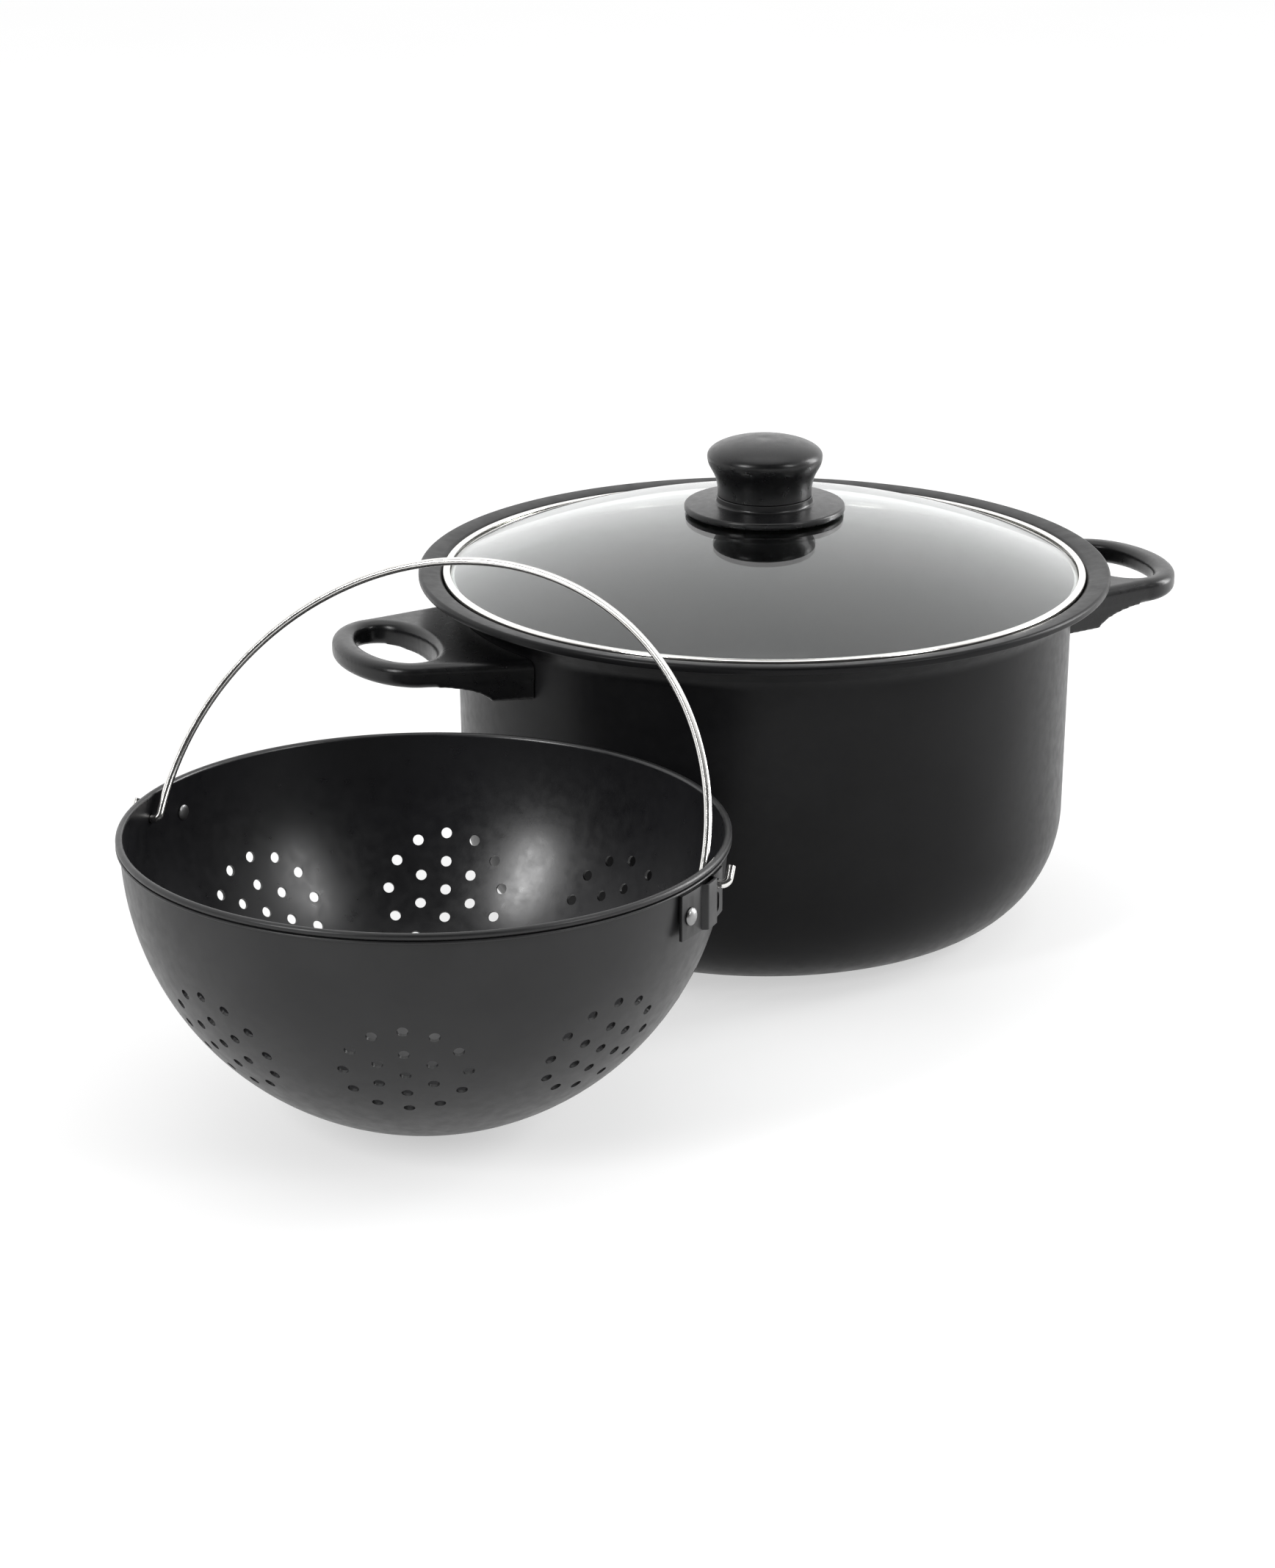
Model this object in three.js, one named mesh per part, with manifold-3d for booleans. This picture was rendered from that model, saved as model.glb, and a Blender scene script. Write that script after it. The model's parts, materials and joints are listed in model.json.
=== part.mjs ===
// Stock pot with a glass lid and a hemispherical strainer that stands beside it.
// Millimetres, +Z up. The origin is the centre of the pot's base, and +X runs along the two side handles.
import * as THREE from 'three';
import { mergeGeometries, mergeVertices } from 'three/addons/utils/BufferGeometryUtils.js';
import Module from 'manifold-3d';

const wasm = await Module();
wasm.setup();

const degrees = THREE.MathUtils.degToRad;
const QUARTER_TURN = Math.PI / 2;
const FULL_TURN = Math.PI * 2;

// Sides of screws, washers and rivets, and steps of their rounded heads
const SMALL_SEGMENTS = 12;
const HEAD_STEPS = 2;

// Clearance kept between neighbouring pieces, and how far a cutting tool runs past what it cuts
const GAP = 0.3;
const CUT_REACH = 50;

// Pot: a pressed steel shell with a flared neck and a flange
const POT_HEIGHT = 144;
const FLANGE_RADIUS = 139;
const WALL_RADIUS = 123.7;
const SHEET = 1.5;
const NECK_HEIGHT = 129;
const WALL_TAPER = 0.02;
const CORNER_REACH = 42;
const CORNER_HEIGHT = 47;
const BEND_RADIUS = 130.6;
const BEND_DROP = 1.4;
const CONE_ANGLE = degrees(52);
const CONE_REACH = 6;
const FLANGE_SLOPE = 0.15;
const LIP_DEPTH = 3.6;
const LIP_ROUNDING = 1.3;
const POT_SEGMENTS = 44;
const CORNER_STEPS = 6;
const NECK_STEPS = 3;
const LIP_STEPS = 2;

// Side handles, moulded and screwed to a bracket on the wall, heights counted from the handle's top
const HANDLE_TOP = 129.6;
const HANDLE_TIP = 180.5;
const HANDLE_ROOT = 112;
const HANDLE_ROOT_HALF_WIDTH = 45;
const HANDLE_HALF_WIDTH = 36;
const HANDLE_NOSE = 24;
const HANDLE_THICKNESS = 11.2;
const HANDLE_THINNING = 0.24;
const HANDLE_ROUNDING = 3;
const FINGER_HOLE_AT = 157;
const FINGER_HOLE_REACH = 14;
const FINGER_HOLE_HALF_WIDTH = 27;
const BLOCK_REACH = 152;
const BLOCK_FOOT_REACH = 131.5;
const BLOCK_DEPTH = 16;
const BLOCK_INSET = 1;
const FLARE_START = 9.2;
const FLARE_BEND_AT = 136;
const FLARE_BEND = 10.6;
const ROUNDING_STEPS = 3;
const NOSE_STEPS = 12;
const FINGER_HOLE_STEPS = 18;
const FLARE_STEPS = 5;
const TONGUE_REACH = 138;
const TONGUE_HALF_WIDTH = 6;
const TONGUE_TOP = -5;
const TONGUE_THICKNESS = 3;
const BRACKET_REACH = 127;
const BRACKET_HALF_WIDTH = 15;
const BRACKET_TOP = -4.5;
const BRACKET_BOTTOM = -14;
const HANDLE_SCREW_AT = 131.4;
const HANDLE_SCREW_RADIUS = 1.9;
const HANDLE_SCREW_HEAD = 3.8;
const HANDLE_SCREW_HEAD_HEIGHT = 2.3;
const HANDLE_SCREW_CROWN = 1.2;
const HANDLE_SCREW_SLOT = 1;
const HANDLE_WASHER_THICKNESS = 0.7;
const COUNTERBORE_TOP = -9.2;

// Lid: domed glass in a steel rim band, heights counted from the flange's top
const LID_RADIUS = 129.2;
const BAND_TOP = -0.8;
const BAND_BOTTOM = -6.4;
const BAND_SHOULDER = -2.4;
const BAND_SHEET = 0.9;
const BAND_LIP = 2.9;
const BAND_LIP_SHEET = 0.6;
const BAND_EDGE = 0.4;
const BAND_FOOT_OUTER = 3.2;
const BAND_FOOT_INNER = 5.6;
const DOME_RISE = 23.8;
const GLASS_THICKNESS = 3.5;
const GLASS_EDGE = 127.6;
const GLASS_EDGE_TOP = -2.3;
const GLASS_LAND = 0.5;
const GLASS_BEVEL = 2.2;
const GLASS_HOLE = 4.2;
const GLASS_STEPS = 6;
const LID_SEGMENTS = 44;

// Knob: a grip on a base disc, held by a screw from below, heights counted from the top of the glass
const KNOB_SEGMENTS = 24;
const KNOB_BORE = 3;
const DISC_RADIUS = 32.2;
const DISC_TOP = 1.9;
const DISC_LOW = -0.9;
const DISC_EDGE = 1;
const DISC_HUB = 0.5;
const COLLAR_RADIUS = 19.2;
const COLLAR_TOP = 2.4;
const COLLAR_FILLET = 1.2;
const SEAM_HEIGHT = 5.4;
const SEAM_EDGE = 0.5;
const NECK_RADIUS = 18.8;
const HEAD_RADIUS = 23.1;
const HEAD_UNDER = 16;
const HEAD_HEIGHT = 21.6;
const KNOB_TOP = 29;
const KNOB_STEPS = 6;
const INSERT_RADIUS = 5;
const INSERT_TOP = 21;
const SCREW_RADIUS = 2.4;
const SCREW_TOP = 18;
const SCREW_HEAD_RADIUS = 5.2;
const SCREW_HEAD_HEIGHT = 2.9;
const SCREW_CROWN = 1.6;
const CROSS_LENGTH = 6.2;
const CROSS_WIDTH = 1.2;
const CROSS_DEPTH = 1.3;
const GASKET_RADIUS = 11;
const GASKET_THICKNESS = 1.4;
const WASHER_RADIUS = 9;
const WASHER_THICKNESS = 1.2;

// Strainer: a spun half sphere with a rolled rim and clusters of round holes
const STRAINER_HEIGHT = 108.2;
const STRAINER_RIM = 111;
const BOWL_RADIUS = 109.5;
const BOWL_SHEET = 1.2;
const BOWL_CENTRE_DROP = 2;
const RIM_DEPTH = 3.8;
const RIM_ROLL = 0.75;
const POT_TO_STRAINER = 2.5;
const STRAINER_AZIMUTH = degrees(-142.4);
const PIVOT_AZIMUTH = degrees(-40.6);
const BOWL_SEGMENTS = 32;
const BOWL_RINGS = 6;
const HOLE_RADIUS = 2.05;
const HOLE_SIDES = 5;
const HOLE_CUT_LENGTH = 10;
const CLUSTER_COUNT = 8;
const CLUSTER_TURN = degrees(16.6);
const CLUSTER_DIP = degrees(31);
const CLUSTER_RINGS = [[0, 1], [11, 6], [22, 12]];

// Bail: a round wire that swings in two holes under the rim
const WIRE_RADIUS = 1.5;
const WIRE_SIDES = 6;
const PIVOT_DROP = 9;
const BAIL_HALF_SPAN = 104.8;
const BAIL_RISE = 112;
const BAIL_LEAN = degrees(36.5);
const BAIL_BEND = 2.5;
const BAIL_END = 116.4;
const BAIL_HOOK = 7;
const PIVOT_HOLE = 2;
const BEND_STEPS = 4;
const ARCH_STEPS = 18;

// Ears: riveted straps outside the bowl, with a raised channel, a hole for the wire and a slot under it
const EAR_START = degrees(-15);
const EAR_STOP = degrees(3.4);
const EAR_TOP_DROP = 4.6;
const EAR_BOTTOM_DROP = 21.4;
const EAR_SHEET = 1.2;
const EAR_CHANNEL_AT = degrees(-5);
const EAR_CHANNEL_HALF = degrees(1.9);
const EAR_CHANNEL_RAMP = degrees(0.9);
const EAR_CHANNEL_RISE = 2;
const EAR_CUT_REACH = 8;
const SLOT_HALF_WIDTH = 2.2;
const SLOT_TOP_DROP = 12.2;
const SLOT_BOTTOM_DROP = 19.6;
const RIVET_AZIMUTH = degrees(-12.1);
const RIVET_DROP = 13.5;
const RIVET_RADIUS = 1.9;
const RIVET_HEAD = 3.3;
const RIVET_HEAD_HEIGHT = 1.5;
const RIVET_TAIL = 3;
const RIVET_TAIL_HEIGHT = 0.9;

const v2 = (x, y) => new THREE.Vector2(x, y);

// Points along an elliptical arc from one angle to another.
function arc(centre, reachX, reachY, from, to, steps) {
  const points = [];
  for (let i = 0; i <= steps; i++) {
    const angle = from + (to - from) * (i / steps);
    points.push(v2(centre.x + reachX * Math.cos(angle), centre.y + reachY * Math.sin(angle)));
  }
  return points;
}

// A closed indexed mesh of plain positions, with its faces pointing out.
function closedMesh(geometry) {
  const bare = geometry.clone();
  bare.deleteAttribute('normal');
  bare.deleteAttribute('uv');
  const merged = mergeVertices(bare, 1e-4);
  const at = merged.attributes.position.array;
  const index = merged.index.array;
  let volume = 0;
  const kept = [];
  const a = new THREE.Vector3();
  const b = new THREE.Vector3();
  const c = new THREE.Vector3();
  for (let i = 0; i < index.length; i += 3) {
    const [p, q, r] = [index[i], index[i + 1], index[i + 2]];
    if (p === q || q === r || r === p) continue;
    a.fromArray(at, p * 3);
    b.fromArray(at, q * 3);
    c.fromArray(at, r * 3);
    volume += a.dot(b.cross(c));
    kept.push(p, q, r);
  }
  if (volume < 0) {
    for (let i = 0; i < kept.length; i += 3) [kept[i + 1], kept[i + 2]] = [kept[i + 2], kept[i + 1]];
  }
  merged.setIndex(kept);
  return merged;
}

function solid(geometry) {
  const mesh = closedMesh(geometry);
  return new wasm.Manifold(new wasm.Mesh({
    numProp: 3,
    vertProperties: Float32Array.from(mesh.attributes.position.array),
    triVerts: Uint32Array.from(mesh.index.array),
  }));
}

function shapeOf(manifold) {
  const mesh = manifold.getMesh();
  const geometry = new THREE.BufferGeometry();
  geometry.setAttribute('position', new THREE.BufferAttribute(mesh.vertProperties, 3));
  geometry.setIndex(new THREE.BufferAttribute(mesh.triVerts, 1));
  return geometry;
}

// Turns a profile of radius and height about the Z axis.
function lathe(points, segments) {
  return new THREE.LatheGeometry(points, segments).rotateX(QUARTER_TURN);
}

function ring(inner, outer, low, high, segments) {
  const corners = [v2(inner, low), v2(outer, low), v2(outer, high), v2(inner, high), v2(inner, low)];
  return lathe(corners, segments);
}

function cylinder(radius, low, high, segments) {
  return lathe([v2(0, low), v2(radius, low), v2(radius, high), v2(0, high)], segments);
}

function box(low, high) {
  const size = high.map((value, axis) => value - low[axis]);
  const middle = high.map((value, axis) => (value + low[axis]) / 2);
  return new THREE.BoxGeometry(...size).translate(...middle);
}

function paint(color, roughness, metalness) {
  return new THREE.MeshStandardMaterial({ color, roughness, metalness });
}

const coatedSteel = () => paint(0x17171a, 0.45, 0.3);
const bakelite = () => paint(0x141416, 0.4, 0);
const brightSteel = () => paint(0xc9c9c9, 0.2, 1);
const clearGlass = () => paint(0xb9c2c4, 0.05, 0);
const silicone = () => paint(0xd8d8d4, 0.7, 0);
const brass = () => paint(0xb08d4a, 0.35, 1);

function piece(name, geometry, material) {
  const mesh = new THREE.Mesh(closedMesh(geometry), material);
  mesh.name = name;
  return mesh;
}

// Pot body: base, rounded corner, tapered wall, flared neck, flange and turned-down lip.
function cornerArc(reach, height) {
  const foot = WALL_RADIUS - WALL_TAPER * (NECK_HEIGHT - CORNER_HEIGHT);
  return arc(v2(foot - CORNER_REACH, CORNER_HEIGHT), reach, height, -QUARTER_TURN, 0, CORNER_STEPS);
}

function neckCurve(wall, coneFoot) {
  const control = v2(wall, coneFoot.y - (coneFoot.x - wall) * Math.tan(CONE_ANGLE));
  return new THREE.QuadraticBezierCurve(v2(wall, NECK_HEIGHT), control, coneFoot).getPoints(NECK_STEPS);
}

function potBody() {
  const bend = v2(BEND_RADIUS, POT_HEIGHT - BEND_DROP);
  const coneFoot = v2(bend.x - CONE_REACH, bend.y - CONE_REACH * Math.tan(CONE_ANGLE));
  const coneNormal = v2(Math.sin(CONE_ANGLE), -Math.cos(CONE_ANGLE));
  const flangeNormal = v2(FLANGE_SLOPE, -1).normalize();
  const mitre = coneNormal.clone().add(flangeNormal).divideScalar(1 + coneNormal.dot(flangeNormal));
  const lipTop = bend.y + (FLANGE_RADIUS - LIP_ROUNDING - bend.x) * FLANGE_SLOPE;
  const lipCentre = v2(FLANGE_RADIUS - LIP_ROUNDING, lipTop - LIP_ROUNDING);
  const lipInside = FLANGE_RADIUS - SHEET;
  const lipFoot = POT_HEIGHT - LIP_DEPTH;
  const outside = [
    v2(0, 0),
    ...cornerArc(CORNER_REACH, CORNER_HEIGHT),
    ...neckCurve(WALL_RADIUS, coneFoot.clone().addScaledVector(coneNormal, SHEET)),
    bend.clone().addScaledVector(mitre, SHEET),
    v2(lipInside, lipTop - SHEET),
    v2(lipInside, lipFoot),
    v2(FLANGE_RADIUS, lipFoot),
    ...arc(lipCentre, LIP_ROUNDING, LIP_ROUNDING, 0, QUARTER_TURN, LIP_STEPS),
  ];
  const inside = [
    v2(0, SHEET),
    ...cornerArc(CORNER_REACH - SHEET, CORNER_HEIGHT - SHEET),
    ...neckCurve(WALL_RADIUS - SHEET, coneFoot),
    bend,
  ];
  return lathe([...outside, ...inside.reverse()], POT_SEGMENTS);
}

// A side handle: a looped grip on a block that hugs the wall, pocketed for its bracket and screw.
function handleLoop() {
  const noseAt = v2(HANDLE_TIP - HANDLE_NOSE, 0);
  const outline = new THREE.Shape([
    v2(HANDLE_ROOT, HANDLE_ROOT_HALF_WIDTH),
    v2(HANDLE_ROOT, -HANDLE_ROOT_HALF_WIDTH),
    ...arc(noseAt, HANDLE_NOSE, HANDLE_HALF_WIDTH, -QUARTER_TURN, QUARTER_TURN, NOSE_STEPS),
  ]);
  const holeAt = v2(FINGER_HOLE_AT, 0);
  const hole = arc(holeAt, FINGER_HOLE_REACH, FINGER_HOLE_HALF_WIDTH, FULL_TURN, 0, FINGER_HOLE_STEPS);
  outline.holes.push(new THREE.Path(hole.slice(1)));
  const loop = new THREE.ExtrudeGeometry(outline, {
    depth: HANDLE_THICKNESS - 2 * HANDLE_ROUNDING,
    bevelThickness: HANDLE_ROUNDING,
    bevelSize: HANDLE_ROUNDING,
    bevelOffset: -HANDLE_ROUNDING,
    bevelSegments: ROUNDING_STEPS,
  });
  loop.translate(0, 0, HANDLE_ROUNDING - HANDLE_THICKNESS);
  const at = loop.attributes.position;
  for (let i = 0; i < at.count; i++) {
    const outward = THREE.MathUtils.inverseLerp(HANDLE_ROOT, HANDLE_TIP, at.getX(i));
    at.setZ(i, at.getZ(i) * (1 - HANDLE_THINNING * outward));
  }
  return loop;
}

// The block under the loop's root: a side profile that flares down to a foot, as wide as the loop.
function handleBlock() {
  const flare = new THREE.QuadraticBezierCurve(
    v2(BLOCK_REACH, -FLARE_START),
    v2(FLARE_BEND_AT, -FLARE_BEND),
    v2(BLOCK_FOOT_REACH, -BLOCK_DEPTH),
  );
  const profile = new THREE.Shape([
    v2(HANDLE_ROOT, -HANDLE_ROUNDING),
    v2(BLOCK_REACH, -HANDLE_ROUNDING),
    ...flare.getPoints(FLARE_STEPS),
    v2(HANDLE_ROOT, -BLOCK_DEPTH),
  ]);
  const block = new THREE.ExtrudeGeometry(profile, { depth: 2, bevelEnabled: false });
  const at = block.attributes.position;
  for (let i = 0; i < at.count; i++) {
    const outward = THREE.MathUtils.inverseLerp(HANDLE_ROOT, HANDLE_TIP - HANDLE_NOSE, at.getX(i));
    const halfWidth = THREE.MathUtils.lerp(HANDLE_ROOT_HALF_WIDTH, HANDLE_HALF_WIDTH, outward) - BLOCK_INSET;
    at.setXYZ(i, at.getX(i), (at.getZ(i) - 1) * halfWidth, at.getY(i));
  }
  return block;
}

// The finger hole as a cutting tool for the block, a clearance larger than the loop's own.
function fingerHole() {
  const [reach, half] = [FINGER_HOLE_REACH + GAP, FINGER_HOLE_HALF_WIDTH + GAP];
  const outline = arc(v2(FINGER_HOLE_AT, 0), reach, half, 0, FULL_TURN, FINGER_HOLE_STEPS).slice(1);
  const tool = new THREE.ExtrudeGeometry(new THREE.Shape(outline), { depth: CUT_REACH, bevelEnabled: false });
  return tool.translate(0, 0, -CUT_REACH);
}

function bracketSolid(slack) {
  const half = BRACKET_HALF_WIDTH + slack;
  const plate = box(
    [HANDLE_ROOT, -half, BRACKET_BOTTOM - slack],
    [BRACKET_REACH + slack, half, BRACKET_TOP + slack],
  );
  const tongue = box(
    [HANDLE_ROOT, -TONGUE_HALF_WIDTH - slack, TONGUE_TOP - TONGUE_THICKNESS - slack],
    [TONGUE_REACH + slack, TONGUE_HALF_WIDTH + slack, TONGUE_TOP + slack],
  );
  return solid(plate).add(solid(tongue));
}

function screwHole(radius, high) {
  return solid(cylinder(radius, -CUT_REACH, high, SMALL_SEGMENTS).translate(HANDLE_SCREW_AT, 0, 0));
}

const wallCut = () => solid(cylinder(WALL_RADIUS + GAP, -CUT_REACH, CUT_REACH, POT_SEGMENTS * 2));

function handleBody() {
  const block = solid(handleBlock()).subtract(solid(fingerHole()));
  return shapeOf(solid(handleLoop())
    .add(block)
    .subtract(wallCut())
    .subtract(bracketSolid(GAP))
    .subtract(screwHole(HANDLE_SCREW_RADIUS + GAP, TONGUE_TOP + GAP))
    .subtract(screwHole(HANDLE_SCREW_HEAD + GAP, COUNTERBORE_TOP)));
}

function handleBracket() {
  const bore = screwHole(HANDLE_SCREW_RADIUS + GAP, CUT_REACH);
  return shapeOf(bracketSolid(0).subtract(wallCut()).subtract(bore));
}

function handleWasher() {
  const top = COUNTERBORE_TOP - GAP;
  const inner = HANDLE_SCREW_RADIUS + GAP;
  const washer = ring(inner, HANDLE_SCREW_HEAD, top - HANDLE_WASHER_THICKNESS, top, SMALL_SEGMENTS);
  return washer.translate(HANDLE_SCREW_AT, 0, 0);
}

// A headed screw that points up, with a rounded head under its seat.
function screwShape(headRadius, crown, low, seat, shankRadius, top) {
  return lathe([
    ...arc(v2(0, low + crown), headRadius, crown, -QUARTER_TURN, 0, HEAD_STEPS),
    v2(headRadius, seat),
    v2(shankRadius, seat),
    v2(shankRadius, top),
    v2(0, top),
  ], SMALL_SEGMENTS);
}

function handleScrew() {
  const seat = COUNTERBORE_TOP - HANDLE_WASHER_THICKNESS - 2 * GAP;
  const low = seat - HANDLE_SCREW_HEAD_HEIGHT;
  const screw = screwShape(
    HANDLE_SCREW_HEAD, HANDLE_SCREW_CROWN, low, seat, HANDLE_SCREW_RADIUS, TONGUE_TOP,
  );
  const half = HANDLE_SCREW_SLOT / 2;
  const slot = box([-CUT_REACH, -half, -CUT_REACH], [CUT_REACH, half, low + HANDLE_SCREW_SLOT]);
  return shapeOf(solid(screw).subtract(solid(slot))).translate(HANDLE_SCREW_AT, 0, 0);
}

function handle(side, turn) {
  const group = new THREE.Group();
  group.position.z = HANDLE_TOP;
  group.rotation.z = turn;
  group.add(
    piece(`${side}_handle`, handleBody(), bakelite()),
    piece(`${side}_handle_bracket`, handleBracket(), brightSteel()),
    piece(`${side}_handle_washer`, handleWasher(), brightSteel()),
    piece(`${side}_handle_screw`, handleScrew(), brightSteel()),
  );
  return group;
}

// Lid glass: a domed disc with a bevelled edge and a centre hole for the knob's screw.
function domeLine(sphere, centre, from, to) {
  const points = [];
  for (let i = 0; i <= GLASS_STEPS; i++) {
    const radius = from + (to - from) * (i / GLASS_STEPS);
    points.push(v2(radius, centre + Math.sqrt(sphere ** 2 - radius ** 2)));
  }
  return points;
}

function lidGlass() {
  const rise = DOME_RISE - GLASS_EDGE_TOP;
  const sphere = (GLASS_EDGE ** 2 + rise ** 2) / (2 * rise);
  const centre = DOME_RISE - sphere;
  const top = domeLine(sphere, centre, GLASS_HOLE, GLASS_EDGE);
  const bottom = domeLine(sphere - GLASS_THICKNESS, centre, GLASS_EDGE - GLASS_BEVEL, GLASS_HOLE);
  return lathe([...top, v2(GLASS_EDGE, GLASS_EDGE_TOP - GLASS_LAND), ...bottom, top[0]], LID_SEGMENTS);
}

// Rim band: a rolled channel that grips the edge of the glass and sits on the pot's flared neck.
function lidBand() {
  const lip = LID_RADIUS - BAND_LIP;
  const wall = LID_RADIUS - BAND_SHEET;
  const footInner = LID_RADIUS - BAND_FOOT_INNER;
  const footOuter = LID_RADIUS - BAND_FOOT_OUTER;
  return lathe([
    v2(footInner, BAND_BOTTOM),
    v2(footOuter, BAND_BOTTOM),
    v2(LID_RADIUS, BAND_SHOULDER),
    v2(LID_RADIUS, BAND_TOP - BAND_EDGE),
    v2(LID_RADIUS - BAND_EDGE, BAND_TOP),
    v2(lip, BAND_TOP),
    v2(lip, BAND_TOP - BAND_LIP_SHEET),
    v2(wall, BAND_TOP - BAND_LIP_SHEET),
    v2(wall, BAND_SHOULDER),
    v2(footOuter - GAP, BAND_BOTTOM + BAND_SHEET),
    v2(footInner, BAND_BOTTOM + BAND_SHEET),
    v2(footInner, BAND_BOTTOM),
  ], LID_SEGMENTS);
}

// Knob grip: a neck that swells into a domed head, bored from below for its threaded insert.
function knobGrip() {
  const foot = SEAM_HEIGHT + GAP;
  const bore = INSERT_RADIUS + GAP;
  const swell = new THREE.CubicBezierCurve(
    v2(NECK_RADIUS, foot),
    v2(NECK_RADIUS, HEAD_UNDER),
    v2(HEAD_RADIUS, HEAD_UNDER),
    v2(HEAD_RADIUS, HEAD_HEIGHT),
  );
  return lathe([
    v2(bore, foot),
    ...swell.getPoints(KNOB_STEPS),
    ...arc(v2(0, HEAD_HEIGHT), HEAD_RADIUS, KNOB_TOP - HEAD_HEIGHT, 0, QUARTER_TURN, KNOB_STEPS).slice(1),
    v2(0, INSERT_TOP + GAP),
    v2(bore, INSERT_TOP + GAP),
    v2(bore, foot),
  ], KNOB_SEGMENTS);
}

// Knob disc: a thin skirt over the glass, with a collar that meets the grip at a seam.
function knobDisc() {
  const recess = GASKET_THICKNESS + 2 * GAP;
  const fillet = new THREE.QuadraticBezierCurve(
    v2(COLLAR_RADIUS + COLLAR_FILLET, COLLAR_TOP),
    v2(COLLAR_RADIUS, COLLAR_TOP),
    v2(COLLAR_RADIUS, COLLAR_TOP + COLLAR_FILLET),
  );
  return lathe([
    v2(KNOB_BORE, recess),
    v2(GASKET_RADIUS + GAP, recess),
    v2(GASKET_RADIUS + GAP, DISC_HUB),
    v2(DISC_RADIUS - DISC_EDGE, DISC_LOW),
    v2(DISC_RADIUS, DISC_LOW + DISC_EDGE / 2),
    v2(DISC_RADIUS, DISC_TOP - DISC_EDGE),
    v2(DISC_RADIUS - DISC_EDGE, DISC_TOP),
    ...fillet.getPoints(HEAD_STEPS),
    v2(COLLAR_RADIUS, SEAM_HEIGHT - SEAM_EDGE),
    v2(COLLAR_RADIUS - SEAM_EDGE, SEAM_HEIGHT),
    v2(KNOB_BORE, SEAM_HEIGHT),
    v2(KNOB_BORE, recess),
  ], KNOB_SEGMENTS);
}

function knobInsert() {
  const foot = SEAM_HEIGHT + 2 * GAP;
  return lathe([
    v2(SCREW_RADIUS + GAP, foot),
    v2(INSERT_RADIUS, foot),
    v2(INSERT_RADIUS, INSERT_TOP),
    v2(0, INSERT_TOP),
    v2(0, SCREW_TOP + GAP),
    v2(SCREW_RADIUS + GAP, SCREW_TOP + GAP),
    v2(SCREW_RADIUS + GAP, foot),
  ], SMALL_SEGMENTS);
}

// The stack under the glass runs gasket, washer, screw head, each clear of the next. The glass curves down.
const LOWER_GASKET_TOP = -GLASS_THICKNESS - 2 * GAP;
const WASHER_TOP = LOWER_GASKET_TOP - GASKET_THICKNESS - GAP;
const SCREW_SEAT = WASHER_TOP - WASHER_THICKNESS - GAP;

function knobScrew() {
  const low = SCREW_SEAT - SCREW_HEAD_HEIGHT;
  let screw = solid(screwShape(SCREW_HEAD_RADIUS, SCREW_CROWN, low, SCREW_SEAT, SCREW_RADIUS, SCREW_TOP));
  for (const turn of [0, QUARTER_TURN]) {
    const slot = box(
      [-CROSS_LENGTH / 2, -CROSS_WIDTH / 2, -CUT_REACH],
      [CROSS_LENGTH / 2, CROSS_WIDTH / 2, low + CROSS_DEPTH],
    );
    screw = screw.subtract(solid(slot.rotateZ(turn)));
  }
  return shapeOf(screw);
}

function knob() {
  const group = new THREE.Group();
  group.position.z = DOME_RISE;
  const upper = ring(KNOB_BORE, GASKET_RADIUS, GAP, GAP + GASKET_THICKNESS, SMALL_SEGMENTS);
  const lowerFoot = LOWER_GASKET_TOP - GASKET_THICKNESS;
  const lower = ring(KNOB_BORE, GASKET_RADIUS, lowerFoot, LOWER_GASKET_TOP, SMALL_SEGMENTS);
  const washer = ring(KNOB_BORE, WASHER_RADIUS, WASHER_TOP - WASHER_THICKNESS, WASHER_TOP, SMALL_SEGMENTS);
  group.add(
    piece('knob_grip', knobGrip(), bakelite()),
    piece('knob_base_disc', knobDisc(), bakelite()),
    piece('knob_insert', knobInsert(), brass()),
    piece('knob_screw', knobScrew(), brightSteel()),
    piece('knob_gasket_upper', upper, silicone()),
    piece('knob_gasket_lower', lower, silicone()),
    piece('knob_washer', washer, brightSteel()),
  );
  return group;
}

function lid() {
  const group = new THREE.Group();
  group.position.z = POT_HEIGHT;
  group.add(
    piece('lid_glass', lidGlass(), clearGlass()),
    piece('lid_rim_band', lidBand(), brightSteel()),
    knob(),
  );
  return group;
}

// Strainer bowl: the heights of its centre and pivots, and the radius of its outside at any height.
const BOWL_CENTRE = STRAINER_HEIGHT - BOWL_CENTRE_DROP;
const PIVOT_HEIGHT = STRAINER_HEIGHT - PIVOT_DROP;
const bowlRadiusAt = (height) => Math.sqrt(BOWL_RADIUS ** 2 - Math.min(height - BOWL_CENTRE, 0) ** 2);

function bowlArc(sphere, floor) {
  const low = Math.asin((floor - BOWL_CENTRE) / sphere);
  return arc(v2(0, BOWL_CENTRE), sphere, sphere, low, 0, BOWL_RINGS);
}

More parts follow.
